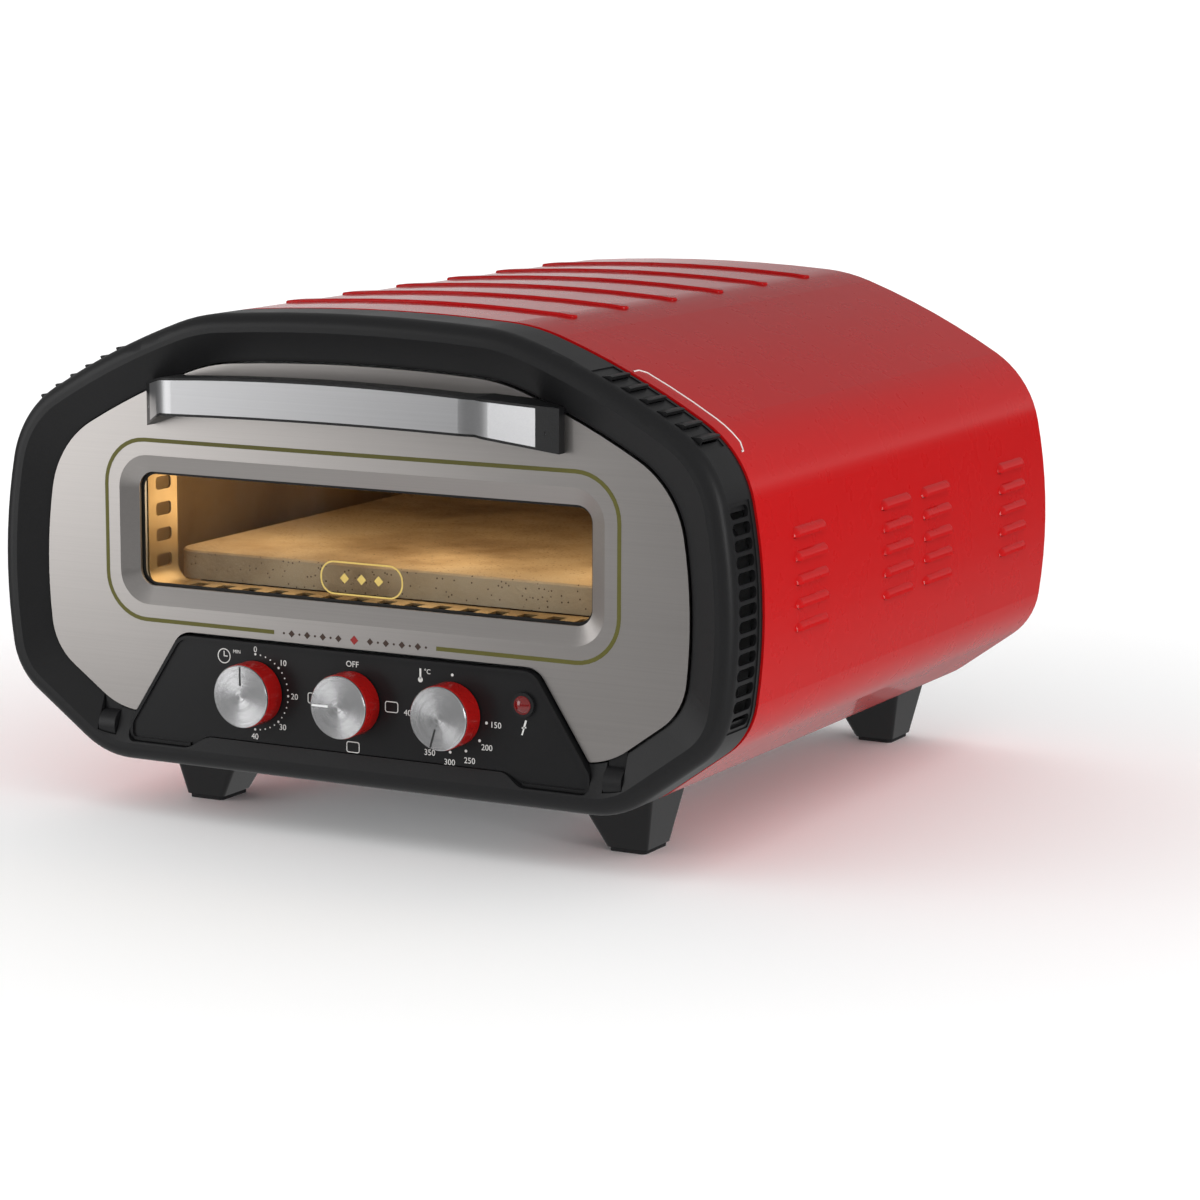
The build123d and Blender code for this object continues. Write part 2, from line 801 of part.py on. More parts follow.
def lamp_ring():
    """Collar and tube that hold the lens of the lamp."""
    front = panel_front - lamp_collar
    collar = rod(lamp_x, lamp_height, front, panel_front, lamp_ring_radius)
    tube = rod(lamp_x, lamp_height, panel_front, lamp_tube_rear, lamp_radius)
    bore = rod(lamp_x, lamp_height, front - 1, lamp_tube_rear - lamp_end,
               lamp_radius - lamp_wall)
    flare = rod(lamp_x, lamp_height, front - 1, panel_front - lamp_seat,
                lamp_radius + lamp_brim)
    return collar + tube - bore - flare


def lamp_lens():
    """Red lens with a domed front."""
    seat = panel_front - lamp_seat
    body = rod(lamp_x, lamp_height, seat, lamp_lens_rear, lamp_radius - lamp_wall)
    brim = rod(lamp_x, lamp_height, seat - 1, seat, lamp_radius + lamp_brim)
    dome = Pos(lamp_x, seat + 2, lamp_height) * Sphere(lamp_radius + 1)
    dome = dome & rod(lamp_x, lamp_height, seat - 6, seat - 1, lamp_radius)
    return body + brim + dome


def front_plate():
    """Steel plate behind the door that carries the chamber and the controls."""
    plate = prism(body_outline(casing_sheet + spigot_wall), frame_rear, plate_rear)
    mouth = prism(slab(mouth_half, mouth_bottom, mouth_top, mouth_corner_radius),
                  frame_rear - 1, plate_rear + 1)
    holes = [rod(x, knob_height, frame_rear - 1, plate_rear + 1, shaft_hole_radius)
             for x in knob_xs]
    screws = [rod(x, z, frame_rear - 1, plate_rear + 1, screw_radius + pin_gap)
              for x, z in plate_screw_places()]
    return plate - mouth - holes - screws


def plate_screws():
    tip = frame_hollow_front + boss_floor
    return group([pan_screw(x, z, plate_rear, plate_rear + screw_head, tip)
                  for x, z in plate_screw_places()])


def door_gasket():
    """Heat-proof seal round the mouth of the chamber."""
    inside = slab(mouth_half + gasket_gap, mouth_bottom - gasket_gap, mouth_top + gasket_gap,
                  mouth_corner_radius)
    return prism(offset(inside, gasket_width) - inside, gasket_front, frame_rear)


# ---- controls ------------------------------------------------------------------------
def knob_skirt(x):
    """Red body of a knob with its hub."""
    rear = panel_front - knob_gap
    front = knob_front + knob_face
    body = rod(x, knob_height, front, rear, knob_radius)
    rim = body.edges().filter_by(GeomType.CIRCLE).sort_by(Axis.Y)[0]
    body = fillet(rim, knob_rim_round)
    hollow = rod(x, knob_height, front + knob_wall, rear, knob_radius - knob_wall)
    hub = rod(x, knob_height, front, rear, knob_hub_radius)
    bore = rod(x, knob_height, front + knob_wall, rear, shaft_radius)
    return body - hollow + hub - bore


def knob_disc(x, angle):
    """Spun aluminium face of a knob with a groove for the pointer."""
    disc = rod(x, knob_height, knob_front, knob_front + knob_face, knob_face_radius)
    rim = disc.edges().filter_by(GeomType.CIRCLE).sort_by(Axis.Y)[0]
    disc = chamfer(rim, knob_face_chamfer)
    return disc - pointer_groove(x, angle)


def pointer_groove(x, angle):
    """Groove from near the rim in towards the centre, turned clockwise from the top."""
    middle = (pointer_start + pointer_end) / 2
    bar = Box(pointer_width, 2 * pointer_depth, pointer_end - pointer_start)
    return Pos(x, knob_front, knob_height) * Rot(0, angle, 0) * Pos(0, 0, middle) * bar


def knob_shaft(x):
    """Spindle from the knob back into its control."""
    front = knob_front + knob_face + knob_wall
    return rod(x, knob_height, front, plate_rear + shaft_seat, shaft_radius)


def shaft_bore(x):
    rear = plate_rear + shaft_seat + fit_gap
    return rod(x, knob_height, plate_rear - 1, rear, shaft_radius + fit_gap)


def timer_body(x):
    """Clockwork timer behind the first knob."""
    case = block(x - timer_half, x + timer_half, plate_rear, control_body_rear,
                 knob_height - timer_half_height, knob_height + timer_half_height)
    bell = rod(x, knob_height, control_body_rear, control_body_rear + timer_bell,
               timer_bell_radius)
    return case + bell - shaft_bore(x)


def selector_body(x):
    """Rotary switch with its row of tabs."""
    rear = control_body_rear - selector_shortfall
    case = rod(x, knob_height, plate_rear, rear, selector_radius)
    first = x - tab_pitch * (tab_count - 1) / 2 - tab_width / 2
    tabs = [block(first + tab_pitch * i, first + tab_pitch * i + tab_width, rear,
                  rear + tab_length, knob_height + tab_low, knob_height + tab_high)
            for i in range(tab_count)]
    return case + tabs - shaft_bore(x)


def thermostat_body(x):
    """Capillary thermostat behind the third knob."""
    rear = control_body_rear - thermostat_cup
    case = block(x - thermostat_half, x + thermostat_half, plate_rear, rear,
                 knob_height + thermostat_low, knob_height + thermostat_high)
    cup = rod(x, knob_height, rear, control_body_rear, thermostat_cup_radius)
    return case + cup - shaft_bore(x)


def control_nuts():
    """Ring nuts that clamp the controls to the steel plate."""
    nuts = []
    for x in knob_xs:
        hexagon = Pos(x, knob_height) * RegularPolygon(nut_radius, 6)
        nut = prism(hexagon, frame_rear - nut_thickness, frame_rear)
        nuts.append(nut - rod(x, knob_height, 0, frame_rear + 1, shaft_hole_radius))
    return group(nuts)


# ---- door ----------------------------------------------------------------------------
def door_outline(inset=0.0):
    """Door face with the notch that clears the control panel."""
    notch = panel_outline(notch_gap + inset)
    outline = body_outline(door_inset + inset, door_soften) - notch
    for x in (-panel_bottom_half, panel_bottom_half):
        vertex = outline.vertices().sort_by_distance((x, foot_height + door_inset, 0))[0]
        outline = fillet(vertex, door_tip_radius)
    return outline


def door_skin():
    """Brushed steel front with the window pressed in."""
    bevel_half = window_half + bevel_width
    outer_rect = slab(bevel_half, window_bottom - bevel_width, window_top + bevel_width,
                      bevel_corner_radius)
    inner_rect = slab(window_half, window_bottom, window_top, window_corner_radius)

    def funnel(grow, front, rear):
        wide = Plane.XZ.offset(-front) * offset(outer_rect, grow)
        narrow = Plane.XZ.offset(-rear) * offset(inner_rect, grow)
        return loft([wide, narrow], ruled=True)

    sheet = prism(door_outline(), 0, skin)
    shell = funnel(skin, 0, bevel_depth + skin)
    hole = funnel(0, 0, bevel_depth)
    throat = prism(inner_rect, -1, bevel_depth + 2 * skin)
    notch_safe = shell & prism(door_outline(), 0, door_back)
    return sheet + notch_safe - hole - throat


def window_slab(margin):
    """Outline of the window, larger by a margin all round."""
    return slab(window_half + margin, window_bottom - margin, window_top + margin,
                window_corner_radius)


def door_pan():
    """Inner pan of the door, open towards the skin."""
    pan = prism(door_outline(door_pan_inset), skin, door_back)
    hollow = prism(door_outline(door_pan_inset + door_wall), skin, door_back - skin)
    hole = prism(window_slab(pan_relief), skin, door_back + 1)
    straps = [hinge_strap(side * hinge_x, fit_gap) for side in (-1, 1)]
    return pan - hollow - hole - straps


def window_seal():
    """Thin seal between the pressed edge of the skin and the glass."""
    front = bevel_depth + skin
    ring = window_slab(glass_overlap) - window_slab(seal_relief)
    return prism(ring, front, front + seal_thickness)


def window_glass():
    front = bevel_depth + skin + seal_thickness
    return prism(window_slab(glass_overlap), front, front + glass_thickness)


def glass_clamp():
    """Frame that holds the glass against its seal."""
    front = bevel_depth + skin + seal_thickness + glass_thickness
    ring = window_slab(glass_overlap + clamp_lap) - window_slab(window_relief)
    return prism(ring, front, door_back - skin)


def door_collar():
    """Pierced collar behind the window that reaches into the mouth of the chamber."""
    half = window_half + window_relief
    low = window_bottom - window_relief
    high = window_top + window_relief
    rear = door_back + collar_sheet + collar_depth
    shape = window_slab(window_relief)
    grown = offset(shape, collar_sheet)
    collar = prism(offset(shape, collar_flange) - shape, door_back, door_back + collar_sheet)
    collar += prism(grown - shape, door_back, rear)
    middle_y = (door_back + collar_sheet + rear) / 2
    pitch = (high - low - 2 * collar_hole_margin) / collar_hole_count
    heights = [low + collar_hole_margin + pitch * (i + 0.5) for i in range(collar_hole_count)]
    hole = Rot(0, 90, 0) * RectangleRounded(pitch / 2, collar_hole_length, collar_hole_radius)
    square = extrude(hole, 2 * half, both=True)
    collar -= [Pos(0, middle_y, z) * square for z in heights]
    slot_pitch = 2 * (half - collar_flange) / collar_slot_count
    slot = Box(slot_pitch / 2, collar_slot_length, 6 * collar_sheet)
    slots = [Pos(-half + collar_flange + slot_pitch * (i + 0.5), middle_y, low) * slot
             for i in range(collar_slot_count)]
    return collar - slots


def handle_plan(shrink):
    """Bow of the handle seen from above, drawn in from its front by the shrink."""
    front = handle_front + shrink
    slope = (handle_foot_half - handle_flat_half) / (handle_cap_front - handle_front)
    flat = handle_flat_half - shrink * 0.35
    foot = handle_foot_half
    inner_foot = foot - handle_foot_width
    inner_front = handle_front + handle_thickness
    inner_flat = inner_foot - (0 - inner_front) * slope
    cap = handle_cap_front + shrink
    right = [(flat, front), (foot, cap), (foot, 0), (inner_foot, 0), (inner_flat, inner_front)]
    left = [(-x, y) for x, y in reversed(right)]
    outline = Sketch() + make_face(Polyline(right + left, close=True))
    for x in (-flat, flat):
        vertex = outline.vertices().sort_by_distance((x, front, 0))[0]
        outline = fillet(vertex, handle_bend_radius)
    for x in (-inner_flat, inner_flat):
        vertex = outline.vertices().sort_by_distance((x, inner_front, 0))[0]
        outline = fillet(vertex, handle_bend_radius / 2)
    return outline


def handle_elevation(inset):
    """Face of the handle seen from the front, drawn in by the inset."""
    foot, bend = handle_foot_half, handle_flat_half
    lines = [
        ThreePointArc((-bend, handle_top_bend), (0, handle_top_middle), (bend, handle_top_bend)),
        Line((bend, handle_top_bend), (foot, handle_top_foot)),
        Line((foot, handle_top_foot), (foot, handle_bottom_foot)),
        Line((foot, handle_bottom_foot), (bend, handle_bottom_bend)),
        ThreePointArc((bend, handle_bottom_bend), (0, handle_bottom_middle),
                      (-bend, handle_bottom_bend)),
        Line((-bend, handle_bottom_bend), (-foot, handle_bottom_foot)),
        Line((-foot, handle_bottom_foot), (-foot, handle_top_foot)),
        Line((-foot, handle_top_foot), (-bend, handle_top_bend)),
    ]
    face = Sketch() + make_face(lines)
    return face if inset == 0 else offset(face, -inset, kind=Kind.INTERSECTION)


def handle_blank(shrink, inset):
    plan = extrude(handle_plan(shrink), 240)
    return plan & prism(handle_elevation(inset), handle_front - 1, 1)


def handle_screw_places():
    x = handle_foot_half - handle_foot_width / 2
    middle = (handle_top_foot + handle_bottom_foot) / 2
    return [(side * x, middle - handle_screw_drop) for side in (-1, 1)]


def handle_grip():
    """Black bow of the handle with a seat for its face plate."""
    grip = handle_blank(0, 0)
    face = handle_face()
    seat = (handle_blank(0, handle_rim) - handle_blank(handle_plate, handle_rim)) \
        & block(-handle_face_end, handle_face_end, handle_front - 1, 1, 100, 240)
    holes = [rod(x, z, -handle_screw_length - fit_gap, 1, handle_screw_radius)
             for x, z in handle_screw_places()]
    return grip - seat - face - holes


def handle_face():
    """Satin face plate let into the front of the handle."""
    shell = handle_blank(0, handle_rim) - handle_blank(handle_plate, handle_rim)
    return shell & block(-handle_face_end, handle_face_end, handle_front - 1, 1, 100, 240)


def handle_screws():
    """Screws from inside the door into the ends of the handle."""
    screws = []
    for x, z in handle_screw_places():
        shank = rod(x, z, -handle_screw_length, skin, handle_screw_radius)
        screws.append(shank + rod(x, z, skin, skin + screw_head, handle_screw_head_radius))
    return group(screws)


def door_screw_holes():
    return [rod(x, z, -1, skin + 0.5, handle_screw_radius) for x, z in handle_screw_places()]


def hinge_leaf_piece(side):
    """Strap behind the leg of the door with the barrel that turns on the pin."""
    x = side * hinge_x
    barrel = hinge_rod(x, hinge_barrel_radius, hinge_leaf_width)
    return barrel + hinge_strap(x, 0) - hinge_rod(x, hinge_pin_radius + pin_gap, 40)


def hinge_pins():
    """Pins through the blocks at each side of the hinge slots."""
    return group([hinge_rod(side * hinge_x, hinge_pin_radius, hinge_pin_length)
                  for side in (-1, 1)])


# ---- chamber -------------------------------------------------------------------------
def chamber_liner():
    """Steel box of the oven chamber, open at the front."""
    out = liner_sheet
    box = block(-chamber_half - out, chamber_half + out, plate_rear, chamber_rear + out,
                chamber_floor - out, chamber_top + out)
    inside = block(-chamber_half, chamber_half, plate_rear - 1, chamber_rear,
                   chamber_floor, chamber_top)
    holes = [rod(x, z, chamber_rear - 1, chamber_rear + out + 1, insulator_neck_radius)
             for x, z in element_ends()]
    return box - inside - holes - bulb_hole()


def element_ends():
    return [(side * half, z) for side in (-1, 1)
            for half, z in ((lower_element_half, lower_element_height),
                            (upper_element_half, upper_element_height))]


def element(half, z):
    """Tube heater bent to a loop, with both ends out of the back of the chamber."""
    inner = half * element_inner_share
    back = chamber_rear - element_rear_gap
    points = [(-half, element_rear, z), (-half, element_front, z), (-inner, element_front, z),
              (-inner, back, z), (inner, back, z), (inner, element_front, z),
              (half, element_front, z), (half, element_rear, z)]
    path = FilletPolyline(*points, radius=element_bend_radius)
    start = Plane(origin=points[0], z_dir=(0, -1, 0))
    return sweep(start * Circle(element_radius), path=path)


def element_insulators():
    """Ceramic bushings where the heaters pass through the back wall."""
    bushes = []
    for x, z in element_ends():
        neck = rod(x, z, chamber_rear, chamber_rear + liner_sheet, insulator_neck_radius)
        cap = rod(x, z, chamber_rear + liner_sheet, chamber_rear + insulator_length,
                  insulator_radius)
        bore = rod(x, z, chamber_rear - 1, chamber_rear + insulator_length + 1, element_radius)
        bushes.append(neck + cap - bore)
    return group(bushes)


def baking_stone():
    """Stone slab that the food bakes on."""
    length = stone_rear - stone_front
    slab_shape = RectangleRounded(2 * stone_half, length, stone_corner_radius)
    place = Pos(0, (stone_front + stone_rear) / 2, stone_bottom)
    stone = place * extrude(slab_shape, stone_thickness)
    return chamfer(stone.faces().sort_by(Axis.Z)[-1].edges(), stone_chamfer)


def stone_supports():
    """Folded rails that hold the stone above the lower heater."""
    rails = []
    for side in (-1, 1):
        x0 = side * support_x - support_width / 2
        front = stone_front + support_margin
        rear = stone_rear - support_margin
        rail = block(x0, x0 + support_width, front, rear, chamber_floor, stone_bottom)
        rail -= block(x0 + support_sheet, x0 + support_width - support_sheet, front - 1,
                      rear + 1, chamber_floor - 1, stone_bottom - support_sheet)
        rails.append(rail)
    return group(rails)


def top_insulation():
    """Blanket over the chamber."""
    half = chamber_half - insulation_side
    bottom = chamber_top + liner_sheet
    return block(-half, half, plate_rear + insulation_front, chamber_rear - insulation_rear,
                 bottom, bottom + insulation_thickness)


def bulb_hole():
    return [Pos(chamber_half, bulb_front - capillary_lead, bulb_height) * Rot(0, 90, 0)
            * Cylinder(capillary_radius + capillary_play, 8 * liner_sheet)]


def thermostat_bulb():
    """Sensing bulb along the side of the chamber."""
    bulb = rod(bulb_x, bulb_height, bulb_front, bulb_front + bulb_length, bulb_radius)
    return fillet(bulb.edges().filter_by(GeomType.CIRCLE), bulb_round)


def bulb_clips():
    """Two clips that hold the bulb to the wall of the chamber."""
    clips = []
    for y in (bulb_front + clip_margin, bulb_front + bulb_length - clip_margin):
        front, rear = y - clip_half_width, y + clip_half_width
        tab = block(bulb_x, chamber_half, front, rear, bulb_height - clip_half_height,
                    bulb_height + clip_half_height)
        ring = rod(bulb_x, bulb_height, front, rear, bulb_radius + clip_ring)
        clips.append(tab + ring - rod(bulb_x, bulb_height, front - 1, rear + 1, bulb_radius))
    return group(clips)


def capillary_tube():
    """Thin tube from the bulb out of the chamber and down to the thermostat."""
    hole_y = bulb_front - capillary_lead
    out_x = chamber_half + capillary_clear
    end_x = knob_pitch + capillary_end
    low = knob_height
    rear = control_body_rear + capillary_drop_gap
    points = [(bulb_x, bulb_front, bulb_height), (bulb_x, hole_y, bulb_height),
              (out_x, hole_y, bulb_height), (out_x, hole_y, low), (out_x, rear, low),
              (end_x, rear, low), (end_x, control_body_rear, low)]
    path = FilletPolyline(*points, radius=capillary_bend)
    start = Plane(origin=points[0], z_dir=(0, -1, 0))
    return sweep(start * Circle(capillary_radius), path=path)


def terminal_block():
    """Block that the mains wires end in."""
    upper = base_top + terminal_height
    body = block(terminal_x, terminal_x + terminal_width, terminal_front,
                 terminal_front + terminal_depth, base_top, upper)
    first = terminal_x + (terminal_width - terminal_pitch * (terminal_count - 1)) / 2
    middle_y = terminal_front + terminal_depth / 2
    bore = Cylinder(terminal_radius, 2 * terminal_bore)
    return body - [Pos(first + terminal_pitch * i, middle_y, upper) * bore
                   for i in range(terminal_count)]


# ---- feet ----------------------------------------------------------------------------
def foot(side, y):
    """Tapered foot under one corner, with a bore for its screw."""
    rise = foot_height + foot_rise_over - foot_pad
    x_in = foot_x - foot_width / 2
    x_out = foot_x + foot_width / 2
    low = Pos((x_in + x_out) / 2, y, foot_pad) \
        * RectangleRounded(foot_width, foot_length, foot_lower_radius)
    top_in = x_in - foot_flare_in * rise
    top_out = x_out + foot_flare_out * rise
    top_length = foot_length + 2 * foot_flare_y * rise
    high = Pos((top_in + top_out) / 2, y, foot_pad + rise) \
        * RectangleRounded(top_out - top_in, top_length, foot_upper_radius)
    body = loft([low, high], ruled=True) - prism(outer, 0, casing_rear + 20)
    body = max(body.solids(), key=lambda solid: solid.volume)
    bore = Pos(foot_x, y, 0) * Cylinder(foot_screw_head + fit_gap, 2 * foot_bore_top)
    hole = Pos(foot_x, y, foot_height) * Cylinder(foot_screw_radius + pin_gap, 40)
    body = body - bore - hole
    return body if side > 0 else across(body)


def foot_pads():
    """Rubber pads under the feet."""
    size_x = foot_width - foot_pad_margin
    size_y = foot_length - foot_pad_margin
    pad = extrude(RectangleRounded(size_x, size_y, foot_lower_radius), foot_pad)
    return group([Pos(x, y, 0) * pad for x, y in foot_places()])


def foot_screws():
    """Screws up through the feet into the floor of the body, with their nuts."""
    screws = []
    for x, y in foot_places():
        head = Pos(x, y, foot_bore_top - foot_screw_head_height / 2) \
            * Cylinder(foot_screw_head, foot_screw_head_height)
        shank_top = base_top + foot_screw_reach
        shank = Pos(x, y, (foot_bore_top + shank_top) / 2) \
            * Cylinder(foot_screw_radius, shank_top - foot_bore_top)
        nut = Pos(x, y, base_top) * extrude(RegularPolygon(foot_nut_radius, 6), foot_nut)
        screws.append(head + shank + nut)
    return group(screws)


# ---- writing -------------------------------------------------------------------------
timer_x, selector_x, thermostat_x = knob_xs
timer_angle, selector_angle, thermostat_angle = 0.0, -90.0, 196.0

nodes = {
    "casing": casing(),
    "base_plate": base_plate(),
    "rear_panel": rear_panel(),
    "cord_gland": cord_gland(),
    "rear_screws": rear_screws(),
    "rating_plate": rating_plate(),
    "front_frame": front_frame(),
    "right_side_grille": side_grille(),
    "left_side_grille": across(side_grille()),
    "right_shoulder_grille": stepped_grille(),
    "left_shoulder_grille": across(stepped_grille()),
    "front_plate": front_plate(),
    "plate_screws": plate_screws(),
    "door_gasket": door_gasket(),
    "control_panel": control_panel(),
    "control_nuts": control_nuts(),
    "lamp_ring": lamp_ring(),
    "lamp_lens": lamp_lens(),
    "timer_body": timer_body(timer_x),
    "selector_body": selector_body(selector_x),
    "thermostat_body": thermostat_body(thermostat_x),
    "chamber_liner": chamber_liner(),
    "top_insulation": top_insulation(),
    "upper_heater": element(upper_element_half, upper_element_height),
    "lower_heater": element(lower_element_half, lower_element_height),
    "heater_insulators": element_insulators(),
    "baking_stone": baking_stone(),
    "stone_supports": stone_supports(),
    "thermostat_bulb": thermostat_bulb(),
    "bulb_clips": bulb_clips(),
    "capillary_tube": capillary_tube(),
    "terminal_block": terminal_block(),
    "front_left_foot": foot(-1, foot_front_y),
    "front_right_foot": foot(1, foot_front_y),
    "rear_left_foot": foot(-1, foot_rear_y),
    "rear_right_foot": foot(1, foot_rear_y),
    "foot_pads": foot_pads(),
    "foot_screws": foot_screws(),
    "hinge_pins": hinge_pins(),
    "door_skin": door_skin() - door_screw_holes(),
    "door_pan": door_pan(),
    "window_seal": window_seal(),
    "window_glass": window_glass(),
    "glass_clamp": glass_clamp(),
    "door_collar": door_collar(),
    "handle_grip": handle_grip(),
    "handle_face": handle_face(),
    "handle_screws": handle_screws(),
    "left_hinge_leaf": hinge_leaf_piece(-1),
    "right_hinge_leaf": hinge_leaf_piece(1),
}
for name, x, angle in (("timer", timer_x, timer_angle), ("selector", selector_x, selector_angle),
                       ("thermostat", thermostat_x, thermostat_angle)):
    nodes[name + "_knob"] = knob_skirt(x)
    nodes[name + "_knob_face"] = knob_disc(x, angle)
    nodes[name + "_shaft"] = knob_shaft(x)

os.makedirs("parts", exist_ok=True)
for name, solid in nodes.items():
    export_step(Pos(0, -origin_y, 0) * solid, "parts/" + name + ".step")
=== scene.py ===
import json
from math import cos, pi, radians, sin

import bmesh
import bpy
from mathutils import Matrix, Vector
from mathutils.bvhtree import BVHTree


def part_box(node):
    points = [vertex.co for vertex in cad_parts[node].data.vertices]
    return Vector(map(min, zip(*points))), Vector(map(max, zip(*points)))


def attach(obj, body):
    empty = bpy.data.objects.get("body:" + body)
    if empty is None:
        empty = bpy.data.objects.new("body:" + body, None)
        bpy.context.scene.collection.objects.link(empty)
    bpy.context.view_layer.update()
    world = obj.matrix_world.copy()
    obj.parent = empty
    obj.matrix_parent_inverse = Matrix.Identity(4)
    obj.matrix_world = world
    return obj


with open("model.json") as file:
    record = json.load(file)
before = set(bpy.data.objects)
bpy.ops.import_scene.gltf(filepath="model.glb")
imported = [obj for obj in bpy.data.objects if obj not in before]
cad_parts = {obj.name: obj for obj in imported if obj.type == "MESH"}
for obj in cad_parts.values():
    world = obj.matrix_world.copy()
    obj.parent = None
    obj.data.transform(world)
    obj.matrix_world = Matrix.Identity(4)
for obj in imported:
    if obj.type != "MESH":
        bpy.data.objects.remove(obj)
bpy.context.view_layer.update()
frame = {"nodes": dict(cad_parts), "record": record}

bl_info = {
    "name": "Countertop Pizza Oven",
    "version": (1, 0, 0),
    "blender": (4, 5, 0),
    "location": "View3D > Sidebar > Pizza Oven",
    "description": "Finishes, printed marks and studio for a countertop pizza oven",
    "category": "Object",
}

NODES = frame["nodes"]
MM = 0.001
TO_FRONT = Matrix.Rotation(pi / 2, 4, "X")
CORNER_SEGMENTS = 10
DOT_SEGMENTS = 16
FONT_PER_DIGIT = 1.38             # size of the built-in font for a digit one unit high
RING_STAND = 1.4 * MM             # how far the lamp ring stands off the panel
SPUN_SHADE = (0.80, 0.80, 0.81)
DARK_INK = (0.03, 0.03, 0.03)
PALE_INK = (0.75, 0.75, 0.75)

# ---- door marks ------------------------------------------------------------------------
ORNAMENT_PITCH = 7.4 * MM
ORNAMENT_DOT = 0.5 * MM
LOZENGE_SIDE = 2.108 * MM
MIDDLE_LOZENGE_SIDE = 2.728 * MM
BADGE_HEIGHT = 17.0 * MM          # from the foot of the glass to the middle of the badge
BADGE_HALF_WIDTH = 19.0 * MM
BADGE_HALF_HEIGHT = 6.5 * MM
BADGE_RADIUS = 6.0 * MM
BADGE_LINE = 0.7 * MM
BADGE_PITCH = 8.0 * MM
BADGE_LOZENGE = 3.0 * MM
EDGE_INSET = 7.2 * MM             # from the edge of the glass in to the black border
EDGE_RADIUS = 7.0 * MM
EDGE_WIDTH = 2.0 * MM

# ---- panel marks -----------------------------------------------------------------------
TIMER_STEP = 9.1                  # degrees from dot to dot
TIMER_GROUP = 5                   # dots from number to number
TIMER_NUMBERS = ("0", "10", "20", "30", "40")
TIMER_DOT = 0.5 * MM
TIMER_SMALL_DOT = 0.32 * MM
ZERO_GAP = 1.9 * MM               # from the dots out to the middle of the zero
CLOCK_PLACE = (-15.2 * MM, 13.6 * MM)
CLOCK_RADIUS = 2.9 * MM
CLOCK_LINE = 0.4 * MM
CLOCK_PARTS = 28
SIGN_RADIUS = 18.2 * MM           # from the middle of the selector to a heat sign
SIGN_HALF_WIDTH = 2.9 * MM
SIGN_HALF_HEIGHT = 2.1 * MM
SIGN_CORNER = 0.9 * MM
SIGN_LINE = 0.35 * MM
HEAT_MARKS = ((0, ""), (98, "150"), (128, "200"), (157, "250"), (184, "300"), (212, "350"),
              (265, "400"))
HEAT_DOT = 0.6 * MM
HEAT_NUMBER_GAP = 1.2 * MM        # how much farther out the longer numbers stand
THERMOMETER_PLACE = (-14.6 * MM, 14.4 * MM)
POWER_DROP = 4.2 * MM             # from the lamp ring down to the sign
POINTERS = (("timer", 0.0, DARK_INK), ("selector", -90.0, PALE_INK),
            ("thermostat", 196.0, DARK_INK))
POINTER_RADIUS = 8.35 * MM        # from the middle of the knob to the middle of the pointer
POINTER_LENGTH = 7.6 * MM
POINTER_WIDTH = 0.86 * MM
POINTER_DEPTH = 0.3 * MM
POINTER_FILL = 0.2 * MM

# ---- casing line -----------------------------------------------------------------------
PIN_NEAR, PIN_FAR = 1.6 * MM, 9.0 * MM              # from the front edge of the casing
PIN_START, PIN_STOP, PIN_CORNER = 112.0 * MM, 157.0 * MM, 2.5 * MM
PIN_TAIL = 3.0 * MM               # how much shorter the outer end of the line is
PIN_PARTS = 12

# ---- stage -----------------------------------------------------------------------------
FLOOR_HALF = 60.0
CARD_HALF, CARD_HEIGHT = 0.3, 0.52
# Name, place, aim, size and power of each soft light.
SOFT_LIGHTS = (("left", (-0.85, -0.85, 0.25), (-0.1, -0.15, 0.1), (0.7, 0.7), 2.6),
               ("right", (1.5, -0.62, 0.35), (0.16, -0.12, 0.1), (0.14, 0.8), 4.0))
CHAMBER_LIGHTS_X = (-0.09, 0.0, 0.09)
CHAMBER_LIGHT_BACK, CHAMBER_LIGHT_DROP = 0.045, 0.03
CHAMBER_POWER = 0.09
CHAMBER_COLOUR = (1.0, 0.75, 0.46)
SKY_STRENGTH = 1.18
GLARE_TOWARDS = (-0.5, 0.865, -0.03)
GLARE_EDGE, GLARE_CORE = 0.975, 0.999               # cosines of the angle from its middle


# ---- sizes and colours that can be changed --------------------------------------------
def length(name, description, default):
    return bpy.props.FloatProperty(name=name, description=description, default=default,
                                   min=0.0, unit="LENGTH", subtype="DISTANCE")


def colour(name, description, default):
    return bpy.props.FloatVectorProperty(name=name, description=description, default=default,
                                         size=3, min=0.0, max=1.0, subtype="COLOR")


def angle(name, description, default):
    return bpy.props.FloatProperty(name=name, description=description,
                                   default=radians(default), subtype="ANGLE")


class OvenColours(bpy.types.PropertyGroup):
    enamel: colour("Casing", "Gloss paint of the wrap", (0.48, 0.005, 0.006))
    skirt: colour("Knob body", "Red plastic of the knobs", (0.36, 0.007, 0.006))
    plastic: colour("Frame", "Black plastic of the frame", (0.0095, 0.0095, 0.0102))
    steel: colour("Door", "Brushed steel of the door", (0.56, 0.53, 0.51))
    line: colour("Door line", "Olive line round the window", (0.095, 0.088, 0.012))
    print_white: colour("Print", "Marks on the panel", (0.62, 0.62, 0.60))
    gold: colour("Badge", "Thin gold line on the glass", (0.62, 0.45, 0.12))


